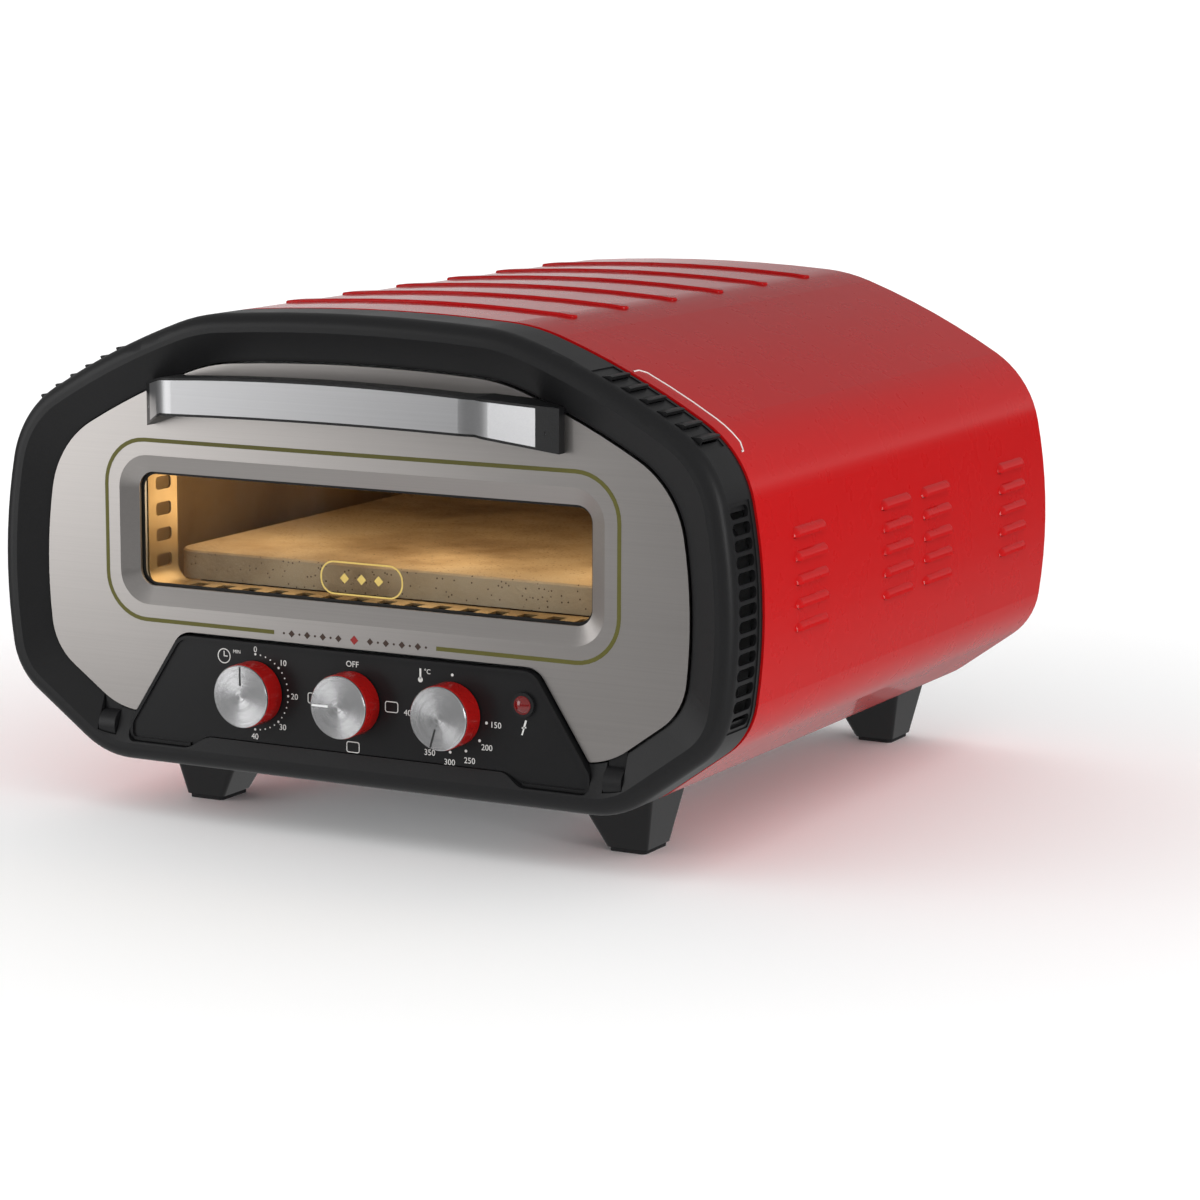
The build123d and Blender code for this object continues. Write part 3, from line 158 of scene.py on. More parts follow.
class TrimSizes(bpy.types.PropertyGroup):
    line_margin: length("Line margin", "From the edge of the glass out to the line", 6.6 * MM)
    line_width: length("Line width", "Width of the olive line", 1.7 * MM)
    line_radius: length("Line corner", "Corner radius of the olive line", 19.0 * MM)
    line_gap: length("Line gap", "Half width of the gap for the ornament", 38.0 * MM)
    print_height: length("Print height", "How far the marks stand off their surface", 0.06 * MM)
    digit: length("Digit height", "Height of the dial numbers", 2.5 * MM)
    scale_radius: length("Scale radius", "Radius of the dots round a dial", 15.6 * MM)
    number_radius: length("Number radius", "Radius of the numbers round a dial", 18.6 * MM)
    pin_line: length("Pin line", "Width of the white line on the casing", 0.8 * MM)


class StageSettings(bpy.types.PropertyGroup):
    azimuth: angle("Azimuth", "How far round to the right the camera stands", 28.87)
    elevation: angle("Elevation", "How far up the camera looks down from", 9.4)
    distance: length("Distance", "From the middle of the oven to the camera", 1.5886)
    gloss: bpy.props.FloatProperty(name="Gloss", description="Brightness of the sky in reflections",
                                   default=0.3, min=0.0)
    lens: bpy.props.FloatProperty(name="Lens", description="Focal length in millimetres",
                                  default=109.7)
    aim_height: length("Aim height", "Height that the camera looks at", 87.9 * MM)
    shift_x: bpy.props.FloatProperty(name="Shift X", description="Sideways shift", default=0.0575)
    shift_y: bpy.props.FloatProperty(name="Shift Y", description="Upward shift", default=-0.0173)


# ---- shader tools ----------------------------------------------------------------------
class Flow:
    """A number that varies over a surface; sums on it add Math nodes."""

    def __init__(self, finish, socket):
        self.finish = finish
        self.socket = socket

    def math(self, operation, first, second):
        return self.finish.node("ShaderNodeMath", {"operation": operation},
                                {0: first, 1: second})

    def __add__(self, other):
        return self.math("ADD", self, other)

    def __sub__(self, other):
        return self.math("SUBTRACT", self, other)

    def __mul__(self, other):
        return self.math("MULTIPLY", self, other)

    def __lt__(self, other):
        return self.math("LESS_THAN", self, other)


class Finish:
    """One material while it is being made."""

    def __init__(self, name, **constants):
        self.material = bpy.data.materials.new(name)
        self.material.use_nodes = True
        self.tree = self.material.node_tree
        self.shader = self.tree.nodes["Principled BSDF"]
        for label, value in constants.items():
            self.put(label, value)

    def node(self, kind, settings=None, inputs=None, output=0):
        """Adds a node: its settings first, then its sockets. Gives the named output."""
        made = self.tree.nodes.new(kind)
        for label, value in (settings or {}).items():
            if label == "stops":
                ramp = made.color_ramp
                while len(ramp.elements) < len(value):
                    ramp.elements.new(0.5)
                for element, (place, shade) in zip(ramp.elements, value):
                    element.position = place
                    element.color = (*shade, 1.0)
            else:
                setattr(made, label, value)
        for label, value in (inputs or {}).items():
            self.feed(made.inputs[label], value)
        return Flow(self, made.outputs[output])

    def feed(self, socket, value):
        if isinstance(value, Flow):
            self.tree.links.new(value.socket, socket)
        elif hasattr(value, "__len__") and len(value) == 3 and socket.type == "RGBA":
            socket.default_value = (*value, 1.0)
        else:
            socket.default_value = value

    def put(self, label, value):
        """Sets or links a socket of the main shader."""
        self.feed(self.shader.inputs[label.replace("_", " ")], value)

    def place(self):
        """Position on the piece, in metres."""
        return self.node("ShaderNodeTexCoord", output="Object")

    def stretched(self, x, y, z):
        """Position multiplied along each axis."""
        return self.node("ShaderNodeVectorMath", {"operation": "MULTIPLY"},
                         {0: self.place(), 1: (x, y, z)})

    def noise(self, scale, detail=3.0, roughness=0.5, vector=None):
        return self.node("ShaderNodeTexNoise", None,
                         {"Vector": vector or self.place(), "Scale": scale, "Detail": detail,
                          "Roughness": roughness})

    def blend(self, factor, first, second):
        """Colour between two colours."""
        return self.node("ShaderNodeMix", {"data_type": "RGBA"},
                         {"Factor": factor, 6: first, 7: second}, 2)

    def range(self, value, low, high):
        """A varying number from 0 to 1, spread over a new range."""
        return value * (high - low) + low

    def bump(self, height, distance, strength=1.0):
        self.put("Normal", self.node("ShaderNodeBump", None, {"Height": height,
                                     "Distance": distance, "Strength": strength}))


def scaled(shade, factor):
    return tuple(min(1.0, part * factor) for part in shade)


# ---- finishes --------------------------------------------------------------------------
def enamel():
    """Smooth gloss red paint."""
    base = bpy.context.scene.oven_colours.enamel
    paint = Finish("red_enamel", Specular_IOR_Level=0.04, Coat_Roughness=0.04, Coat_IOR=1.5)
    drift = paint.noise(9.0, 2.0)
    paint.put("Base_Color", paint.blend(drift, scaled(base, 0.97), scaled(base, 1.03)))
    paint.put("Roughness", paint.range(paint.noise(70.0, 3.0), 0.24, 0.32))
    paint.put("Coat_Weight", 0.38)
    return paint.material


def moulded(name, shade, low, high, grain, depth):
    """Moulded plastic with a fine grain."""
    plastic = Finish(name, Specular_IOR_Level=0.35)
    speck = plastic.noise(grain, 2.0)
    plastic.put("Base_Color", plastic.blend(speck, scaled(shade, 0.85), scaled(shade, 1.2)))
    plastic.put("Roughness", plastic.range(plastic.noise(45.0, 3.0), low, high))
    plastic.bump(speck, depth, 0.4)
    return plastic.material


def brushed(name, shade, low, high, lines, tint=0.12):
    """Metal with fine brush lines along X."""
    metal = Finish(name, Metallic=1.0)
    streak = metal.noise(1.0, 4.0, 0.7, metal.stretched(6.0, lines, lines))
    cloud = metal.noise(14.0, 3.0)
    tone = metal.range(streak, 0.0, 0.75) + cloud * 0.25
    metal.put("Base_Color", metal.blend(tone, scaled(shade, 1 - tint), scaled(shade, 1 + tint)))
    metal.put("Roughness", metal.range(tone, low, high))
    metal.bump(streak, 0.00002, 0.25)
    return metal.material


def spun(name, shade, piece):
    """Aluminium turned on a lathe: each fine groove leans its surface in or out."""
    low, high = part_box(piece)
    middle = (low + high) / 2
    metal = Finish(name, Metallic=1.0)
    offset = metal.node("ShaderNodeVectorMath", {"operation": "SUBTRACT"},
                        {0: metal.place(), 1: tuple(middle)})
    flat = metal.node("ShaderNodeVectorMath", {"operation": "MULTIPLY"},
                      {0: offset, 1: (1.0, 0.0, 1.0)})
    radius = metal.node("ShaderNodeVectorMath", {"operation": "LENGTH"}, {0: flat}, "Value")
    outward = metal.node("ShaderNodeVectorMath", {"operation": "NORMALIZE"}, {0: flat})
    groove = metal.node("ShaderNodeTexWhiteNoise", {"noise_dimensions": "1D"},
                        {"W": metal.node("ShaderNodeMath", {"operation": "FLOOR"},
                                         {0: radius * 40000.0})}, "Value")
    lean = (groove - 0.5) * 0.3
    push = metal.node("ShaderNodeVectorMath", {"operation": "SCALE"},
                      {0: outward, "Scale": lean})
    world_push = metal.node("ShaderNodeVectorTransform", {"vector_type": "VECTOR",
                            "convert_from": "OBJECT", "convert_to": "WORLD"}, {0: push})
    normal = metal.node("ShaderNodeNewGeometry", output="Normal")
    tilted = metal.node("ShaderNodeVectorMath", {"operation": "ADD"}, {0: normal, 1: world_push})
    metal.put("Normal", metal.node("ShaderNodeVectorMath", {"operation": "NORMALIZE"},
                                   {0: tilted}))
    metal.put("Base_Color", metal.blend(groove, scaled(shade, 0.9), scaled(shade, 1.08)))
    metal.put("Roughness", metal.range(groove, 0.16, 0.26))
    return metal.material


def heat_steel():
    """Chamber sheet, straw coloured by heat and darker in patches."""
    metal = Finish("chamber_steel", Metallic=0.85)
    patch = metal.noise(16.0, 5.0, 0.6)
    metal.put("Base_Color", metal.node("ShaderNodeValToRGB", {"stops": (
        (0.25, (0.36, 0.24, 0.10)), (0.5, (0.58, 0.43, 0.22)), (0.8, (0.66, 0.55, 0.36)))},
        {0: patch}))
    metal.put("Roughness", metal.range(metal.noise(60.0, 4.0), 0.3, 0.52))
    metal.bump(metal.noise(150.0, 3.0), 0.0001, 0.3)
    return metal.material


def baked_stone():
    """Pale fireclay with specks, pores and scorch marks."""
    clay = Finish("stone", Specular_IOR_Level=0.3)
    scorch = clay.noise(11.0, 4.0, 0.6)
    speck = clay.node("ShaderNodeTexVoronoi", {"feature": "F1"},
                      {"Vector": clay.place(), "Scale": 420.0}, "Distance")
    base = clay.node("ShaderNodeValToRGB", {"stops": (
        (0.3, (0.28, 0.19, 0.10)), (0.5, (0.58, 0.46, 0.29)), (0.75, (0.70, 0.60, 0.43)))},
        {0: scorch})
    clay.put("Base_Color", clay.blend(speck < 0.16, base, (0.16, 0.11, 0.07)))
    clay.put("Roughness", clay.range(scorch, 0.95, 0.75))
    clay.bump(clay.noise(600.0, 3.0) + speck * 0.5, 0.0004, 0.7)
    return clay.material


def glazing():
    """Thin clear pane, a little brown."""
    pane = Finish("clear_glass", Base_Color=(0.02, 0.015, 0.01), Roughness=0.03,
                  Specular_IOR_Level=0.3)
    facing = pane.node("ShaderNodeLayerWeight", None, {"Blend": 0.15}, "Fresnel")
    pane.put("Alpha", pane.range(facing, 0.1, 0.6))
    return pane.material


def woven():
    """Pale fibre blanket."""
    cloth = Finish("blanket", Specular_IOR_Level=0.2)
    weave = cloth.noise(260.0, 4.0)
    cloth.put("Base_Color", cloth.blend(weave, (0.62, 0.60, 0.52), (0.82, 0.80, 0.74)))
    cloth.put("Roughness", cloth.range(weave, 0.85, 1.0))
    cloth.bump(weave, 0.001, 0.8)
    return cloth.material


def glazed():
    """White ceramic."""
    clay = Finish("ceramic_white", Specular_IOR_Level=0.5)
    tone = clay.noise(50.0, 3.0)
    clay.put("Base_Color", clay.blend(tone, (0.70, 0.68, 0.62), (0.84, 0.82, 0.78)))
    clay.put("Roughness", clay.range(tone, 0.3, 0.5))
    return clay.material


def red_lens():
    """Deep red lens of the lamp."""
    lens = Finish("lamp_red", Specular_IOR_Level=0.7, Coat_Weight=1.0, Coat_Roughness=0.03)
    depth = lens.noise(240.0, 2.0)
    lens.put("Base_Color", lens.blend(depth, (0.10, 0.003, 0.003), (0.18, 0.005, 0.005)))
    lens.put("Roughness", lens.range(depth, 0.08, 0.16))
    return lens.material


def printed(name, shade):
    """Flat ink with a slightly uneven edge to its gloss."""
    ink = Finish(name, Specular_IOR_Level=0.35)
    tone = ink.noise(500.0, 2.0)
    ink.put("Base_Color", ink.blend(tone, scaled(shade, 0.9), scaled(shade, 1.08)))
    ink.put("Roughness", ink.range(tone, 0.4, 0.6))
    return ink.material


def finishes():
    """Every finish by the name of its slot in the record."""
    colours = bpy.context.scene.oven_colours
    black = colours.plastic
    # Slot: shade, least and most roughness, scale of the grain, depth of the grain.
    plastics = {
        "red_plastic": (colours.skirt, 0.22, 0.32, 900.0, 0.00003),
        "black_plastic": (black, 0.36, 0.46, 1500.0, 0.00012),
        "panel_plastic": (scaled(black, 0.9), 0.28, 0.36, 1800.0, 0.00006),
        "foot_plastic": (scaled(black, 0.8), 0.12, 0.2, 700.0, 0.00004),
        "pad_rubber": (scaled(black, 1.4), 0.7, 0.85, 600.0, 0.0001),
        "black_seal": (black, 0.55, 0.75, 700.0, 0.0001),
    }
    # Slot: shade, least and most roughness, scale of the brush lines, then any other tint.
    metals = {
        "brushed_steel": (colours.steel, 0.30, 0.40, 1500.0),
        "satin_aluminium": ((0.60, 0.60, 0.61), 0.30, 0.40, 1800.0),
        "galvanised": ((0.50, 0.51, 0.52), 0.35, 0.55, 180.0, 0.18),
        "heater_steel": ((0.20, 0.17, 0.15), 0.4, 0.6, 300.0),
        "screw_steel": ((0.62, 0.62, 0.64), 0.15, 0.28, 500.0),
        "label_silver": ((0.58, 0.58, 0.58), 0.35, 0.45, 900.0),
        "copper": ((0.72, 0.36, 0.20), 0.2, 0.35, 500.0),
    }
    made = {name: moulded(name, *look) for name, look in plastics.items()}
    made.update({name: brushed(name, *look) for name, look in metals.items()})
    made.update({
        "red_enamel": enamel(),
        "chamber_steel": heat_steel(),
        "stone": baked_stone(),
        "clear_glass": glazing(),
        "blanket": woven(),
        "ceramic_white": glazed(),
        "lamp_red": red_lens(),
    })
    return made


# ---- mesh tools ------------------------------------------------------------------------
def new_piece(name, bm, material, body):
    """Links a finished mesh as one piece that rides on a body."""
    bmesh.ops.recalc_face_normals(bm, faces=bm.faces)
    mesh = bpy.data.meshes.new(name)
    bm.to_mesh(mesh)
    bm.free()
    piece = bpy.data.objects.new(name, mesh)
    bpy.context.scene.collection.objects.link(piece)
    mesh.materials.append(material)
    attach(piece, body)
    return piece


def upright_face(bm, half_x, low, high, y, radius):
    """Rounded rectangle that faces the front."""
    made = bmesh.ops.create_grid(bm, x_segments=1, y_segments=1, size=1.0)
    place = (Matrix.Translation((0.0, y, (low + high) / 2)) @ TO_FRONT
             @ Matrix.Diagonal((half_x, (high - low) / 2, 1.0, 1.0)))
    bmesh.ops.transform(bm, matrix=place, verts=made["verts"])
    face = made["verts"][0].link_faces[0]
    bmesh.ops.bevel(bm, geom=list(face.verts), offset=radius, offset_type="OFFSET",
                    affect="VERTICES", segments=CORNER_SEGMENTS, profile=0.5, material=-1)
    return [f for f in bm.faces if len(f.verts) > 4][-1]


def band(bm, half_x, low, high, y, radius, width):
    """Flat ring along a rounded rectangle."""
    face = upright_face(bm, half_x + width / 2, low - width / 2, high + width / 2, y,
                        radius + width / 2)
    bmesh.ops.inset_individual(bm, faces=[face], thickness=width, use_even_offset=True)
    bmesh.ops.delete(bm, geom=[face], context="FACES")


def dot(bm, x, y, z, radius):
    """Small round mark on the front."""
    place = Matrix.Translation((x, y, z)) @ TO_FRONT
    bmesh.ops.create_circle(bm, cap_ends=True, segments=DOT_SEGMENTS, radius=radius,
                            matrix=place)


def bar(bm, x, y, z, size_x, size_z, turn=0.0):
    """Small rectangular mark on the front, turned clockwise."""
    made = bmesh.ops.create_grid(bm, x_segments=1, y_segments=1, size=0.5)
    place = (Matrix.Translation((x, y, z)) @ Matrix.Rotation(turn, 4, "Y")
             @ TO_FRONT @ Matrix.Diagonal((size_x, size_z, 1.0, 1.0)))
    bmesh.ops.transform(bm, matrix=place, verts=made["verts"])


def words(bm, text, x, y, z, height):
    """Adds short text to the front as flat faces, centred on a point."""
    curve = bpy.data.curves.new("text", "FONT")
    curve.body = text
    curve.size = height * FONT_PER_DIGIT
    curve.align_x = "CENTER"
    curve.align_y = "CENTER"
    curve.resolution_u = 3
    holder = bpy.data.objects.new("text", curve)
    bpy.context.scene.collection.objects.link(holder)
    bpy.context.view_layer.update()
    mesh = bpy.data.meshes.new_from_object(holder)
    before = set(bm.verts)
    bm.from_mesh(mesh)
    place = Matrix.Translation((x, y, z)) @ TO_FRONT
    bmesh.ops.transform(bm, matrix=place, verts=[v for v in bm.verts if v not in before])
    bpy.data.objects.remove(holder)
    bpy.data.curves.remove(curve)
    bpy.data.meshes.remove(mesh)


def thicken(bm, thickness):
    """Turns all the flat marks of a piece into thin solids towards the front."""
    bmesh.ops.remove_doubles(bm, verts=bm.verts, dist=1e-6)
    made = bmesh.ops.extrude_face_region(bm, geom=bm.faces[:])
    moved = [item for item in made["geom"] if isinstance(item, bmesh.types.BMVert)]
    bmesh.ops.translate(bm, verts=moved, vec=(0.0, -thickness, 0.0))


def around(centre, radius, degrees_clockwise):
    """Point on a circle on the front, clockwise from the top."""
    turn = radians(degrees_clockwise)
    return centre.x + radius * sin(turn), centre.z + radius * cos(turn)


def knob_centre(name):
    low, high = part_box(name + "_knob")
    return (low + high) / 2


def panel_face():
    """Depth of the flat of the control panel."""
    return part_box("lamp_ring")[0].y + RING_STAND


# ---- operators -------------------------------------------------------------------------
class OVEN_OT_finishes(bpy.types.Operator):
    """Give every CAD node its finish"""
    bl_idname = "oven.finishes"
    bl_label = "Finishes"

    def execute(self, context):
        made = finishes()
        slots = {part["node"]: part["material_slot"] for part in frame["record"]["subparts"]}
        for name, piece in NODES.items():
            material = made.get(slots[name])
            if slots[name] == "spun_aluminium":
                material = spun(name + "_spun", SPUN_SHADE, name)
            for socket in piece.material_slots:
                socket.material = material
        return {"FINISHED"}


class OVEN_OT_door_line(bpy.types.Operator):
    """Olive line round the window, open at the bottom for the ornament"""
    bl_idname = "oven.door_line"
    bl_label = "Door Line"

    def execute(self, context):
        sizes = context.scene.oven_trim
        low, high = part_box("window_glass")
        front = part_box("door_skin")[0].y
        margin = sizes.line_margin
        bm = bmesh.new()
        band(bm, high.x + margin, low.z - margin, high.z + margin, front, sizes.line_radius,
             sizes.line_width)
        for side in (-1, 1):
            bmesh.ops.bisect_plane(bm, geom=bm.verts[:] + bm.edges[:] + bm.faces[:], dist=1e-7,
                                   plane_co=(side * sizes.line_gap, 0, 0), plane_no=(1, 0, 0))
        middle = (low.z + high.z) / 2
        gap = [f for f in bm.faces if abs(f.calc_center_median().x) < sizes.line_gap
               and f.calc_center_median().z < middle]
        bmesh.ops.delete(bm, geom=gap, context="FACES")
        thicken(bm, sizes.print_height)
        new_piece("door_line", bm, printed("olive_ink", context.scene.oven_colours.line), "door")
        return {"FINISHED"}


class OVEN_OT_door_ornament(bpy.types.Operator):
    """Row of small lozenges in the gap of the door line"""
    bl_idname = "oven.door_ornament"
    bl_label = "Door Ornament"

    def execute(self, context):
        sizes = context.scene.oven_trim
        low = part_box("window_glass")[0]
        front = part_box("door_skin")[0].y
        z = low.z - sizes.line_margin
        dark, red = bmesh.new(), bmesh.new()
        for i in range(-4, 5):
            side = LOZENGE_SIDE if i else MIDDLE_LOZENGE_SIDE
            bar(dark if i else red, i * ORNAMENT_PITCH, front, z, side, side, pi / 4)
        for i in (-4.5, -3.5, -2.5, -1.5, 1.5, 2.5, 3.5, 4.5):
            dot(dark, i * ORNAMENT_PITCH, front, z, ORNAMENT_DOT)
        for bm, name, shade in ((dark, "ornament_dark", (0.05, 0.028, 0.02)),
                                (red, "ornament_red", (0.25, 0.012, 0.012))):
            thicken(bm, sizes.print_height)
            new_piece(name, bm, printed(name + "_ink", shade), "door")
        return {"FINISHED"}


class OVEN_OT_glass_badge(bpy.types.Operator):
    """Plain thin gold oval bar on the glass"""
    bl_idname = "oven.glass_badge"
    bl_label = "Glass Badge"

    def execute(self, context):
        sizes = context.scene.oven_trim
        low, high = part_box("window_glass")
        bm = bmesh.new()
        z = low.z + BADGE_HEIGHT
        band(bm, BADGE_HALF_WIDTH, z - BADGE_HALF_HEIGHT, z + BADGE_HALF_HEIGHT, low.y,
             BADGE_RADIUS, BADGE_LINE)
        for i in (-1, 0, 1):
            bar(bm, i * BADGE_PITCH, low.y, z, BADGE_LOZENGE, BADGE_LOZENGE, pi / 4)
        thicken(bm, sizes.print_height)
        new_piece("glass_badge", bm, printed("gold_ink", context.scene.oven_colours.gold), "door")
        return {"FINISHED"}


class OVEN_OT_window_edge(bpy.types.Operator):
    """Black printed border of the glass just inside the steel"""
    bl_idname = "oven.window_edge"
    bl_label = "Window Edge"

    def execute(self, context):
        sizes = context.scene.oven_trim
        low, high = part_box("window_glass")
        bm = bmesh.new()
        band(bm, high.x - EDGE_INSET, low.z + EDGE_INSET, high.z - EDGE_INSET, low.y, EDGE_RADIUS,
             EDGE_WIDTH)
        thicken(bm, sizes.print_height)
        new_piece("window_edge", bm, printed("edge_ink", (0.012, 0.011, 0.01)), "door")
        return {"FINISHED"}


class OVEN_OT_timer_scale(bpy.types.Operator):
    """Dots, numbers and clock sign of the timer"""
    bl_idname = "oven.timer_scale"
    bl_label = "Timer Scale"

    def clock(self, bm, x, y, z):
        """Ring of short bars with two hands."""
        for i in range(CLOCK_PARTS):
            turn = 2 * pi * i / CLOCK_PARTS
            bar(bm, x + CLOCK_RADIUS * sin(turn), y, z + CLOCK_RADIUS * cos(turn), 0.7 * MM,
                CLOCK_LINE, turn)
        bar(bm, x, y, z + 1.0 * MM, CLOCK_LINE, 2.2 * MM)
        bar(bm, x + 0.8 * MM, y, z, 1.8 * MM, CLOCK_LINE)

    def execute(self, context):
        sizes = context.scene.oven_trim
        centre, y = knob_centre("timer"), panel_face()
        bm = bmesh.new()
        for i in range(TIMER_GROUP * (len(TIMER_NUMBERS) - 1) + 1):
            x, z = around(centre, sizes.scale_radius, TIMER_STEP * i)
            dot(bm, x, y, z, TIMER_SMALL_DOT if i % TIMER_GROUP else TIMER_DOT)
        for i, text in enumerate(TIMER_NUMBERS):
            radius = sizes.number_radius if i else sizes.scale_radius + ZERO_GAP
            x, z = around(centre, radius, TIMER_STEP * TIMER_GROUP * i)
            words(bm, text, x, y, z, sizes.digit)
        x, z = centre.x + CLOCK_PLACE[0], centre.z + CLOCK_PLACE[1]
        self.clock(bm, x, y, z)
        words(bm, "MIN", x + 6.2 * MM, y, z + 2.2 * MM, sizes.digit * 0.6)
        thicken(bm, sizes.print_height)
        new_piece("timer_scale", bm, printed("timer_ink", context.scene.oven_colours.print_white),
                  "oven")
        return {"FINISHED"}


class OVEN_OT_selector_signs(bpy.types.Operator):
    """Off mark and the three heat signs of the selector"""
    bl_idname = "oven.selector_signs"
    bl_label = "Selector Signs"

    def execute(self, context):
        sizes = context.scene.oven_trim
        centre, y = knob_centre("selector"), panel_face()
        bm = bmesh.new()
        words(bm, "OFF", centre.x, y, centre.z + sizes.scale_radius, sizes.digit)
        for turn in (90, 180, 270):
            x, z = around(centre, SIGN_RADIUS, turn)
            sign = bmesh.new()
            band(sign, SIGN_HALF_WIDTH, -SIGN_HALF_HEIGHT, SIGN_HALF_HEIGHT, y, SIGN_CORNER,
                 SIGN_LINE)
            bmesh.ops.translate(sign, verts=sign.verts, vec=(x, 0, z))
            mesh = bpy.data.meshes.new("sign")
            sign.to_mesh(mesh)
            sign.free()
            bm.from_mesh(mesh)
            bpy.data.meshes.remove(mesh)
        thicken(bm, sizes.print_height)
        new_piece("selector_signs", bm,
                  printed("selector_ink", context.scene.oven_colours.print_white), "oven")
        return {"FINISHED"}


class OVEN_OT_thermostat_scale(bpy.types.Operator):
    """Dots, numbers and thermometer sign of the thermostat"""
    bl_idname = "oven.thermostat_scale"
    bl_label = "Thermostat Scale"

    def execute(self, context):
        sizes = context.scene.oven_trim
        centre, y = knob_centre("thermostat"), panel_face()
        bm = bmesh.new()
        for turn, text in HEAT_MARKS:
            x, z = around(centre, sizes.scale_radius, turn)
            dot(bm, x, y, z, HEAT_DOT)
            if text:
                x, z = around(centre, sizes.number_radius + HEAT_NUMBER_GAP, turn)
                words(bm, text, x, y, z, sizes.digit)
        x, z = centre.x + THERMOMETER_PLACE[0], centre.z + THERMOMETER_PLACE[1]
        bar(bm, x, y, z + 0.4 * MM, 0.8 * MM, 4.2 * MM)
        dot(bm, x, y, z - 2.0 * MM, 1.1 * MM)
        words(bm, "°C", x + 3.2 * MM, y, z + 1.4 * MM, sizes.digit * 0.8)
        thicken(bm, sizes.print_height)
        new_piece("thermostat_scale", bm,
                  printed("thermostat_ink", context.scene.oven_colours.print_white), "oven")
        return {"FINISHED"}


class OVEN_OT_power_sign(bpy.types.Operator):
    """Lightning sign under the lamp"""
    bl_idname = "oven.power_sign"
    bl_label = "Power Sign"

    def execute(self, context):
        sizes = context.scene.oven_trim
        low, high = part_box("lamp_ring")
        x, z, y = (low.x + high.x) / 2, low.z - POWER_DROP, panel_face()
        bm = bmesh.new()
        bar(bm, x + 0.45 * MM, y, z + 1.5 * MM, 0.8 * MM, 3.2 * MM, radians(18))
        bar(bm, x, y, z, 2.0 * MM, 0.6 * MM, radians(-12))
        bar(bm, x - 0.45 * MM, y, z - 1.5 * MM, 0.6 * MM, 3.2 * MM, radians(18))
        thicken(bm, sizes.print_height)
        new_piece("power_sign", bm, printed("power_ink", context.scene.oven_colours.print_white),
                  "oven")
        return {"FINISHED"}


class OVEN_OT_pointers(bpy.types.Operator):
    """Coloured fill of the pointer groove on each knob"""
    bl_idname = "oven.pointers"
    bl_label = "Pointers"

    def execute(self, context):
        for name, turn, shade in POINTERS:
            centre = knob_centre(name)
            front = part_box(name + "_knob_face")[0].y
            bm = bmesh.new()
            x, z = around(centre, POINTER_RADIUS, turn)
            bar(bm, x, front + POINTER_DEPTH, z, POINTER_WIDTH, POINTER_LENGTH, radians(turn))
            thicken(bm, POINTER_FILL)
            new_piece(name + "_pointer", bm, printed(name + "_pointer_ink", shade),
                      name + "_dial")
        return {"FINISHED"}


class OVEN_OT_casing_line(bpy.types.Operator):
    """White pin line on the shoulder of the casing"""
    bl_idname = "oven.casing_line"
    bl_label = "Casing Line"

    def execute(self, context):
        sizes = context.scene.oven_trim
        casing = NODES["casing"]
        bm = bmesh.new()
        bm.from_mesh(casing.data)
        tree = BVHTree.FromBMesh(bm)
        bm.free()
        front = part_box("casing")[0].y
        near, far = front + PIN_NEAR, front + PIN_FAR
        first, run = PIN_START + PIN_CORNER, PIN_STOP - PIN_START - 2 * PIN_CORNER
        flat = [(PIN_START, near), (PIN_START, far - PIN_CORNER), (first, far)]
        flat += [(first + run * i / PIN_PARTS, far) for i in range(1, PIN_PARTS + 1)]
        flat += [(PIN_STOP, far - PIN_CORNER), (PIN_STOP, near + PIN_TAIL)]
        curve = bpy.data.curves.new("casing_line", "CURVE")
        curve.dimensions = "3D"
        curve.bevel_depth = sizes.pin_line / 2
        curve.bevel_resolution = 1
        spline = curve.splines.new("POLY")
        spline.points.add(len(flat) - 1)
        for point, (x, y) in zip(spline.points, flat):
            place, normal, _, _ = tree.ray_cast(Vector((x, y, 1.0)), Vector((0, 0, -1)))
            point.co = (*place, 1.0)
        holder = bpy.data.objects.new("casing_line_curve", curve)
        context.scene.collection.objects.link(holder)
        context.view_layer.update()
        mesh = bpy.data.meshes.new_from_object(holder)
        bm = bmesh.new()
        bm.from_mesh(mesh)
        bpy.data.objects.remove(holder)
        bpy.data.meshes.remove(mesh)
        new_piece("casing_line", bm, printed("casing_ink", (0.85, 0.8, 0.78)), "oven")
        return {"FINISHED"}


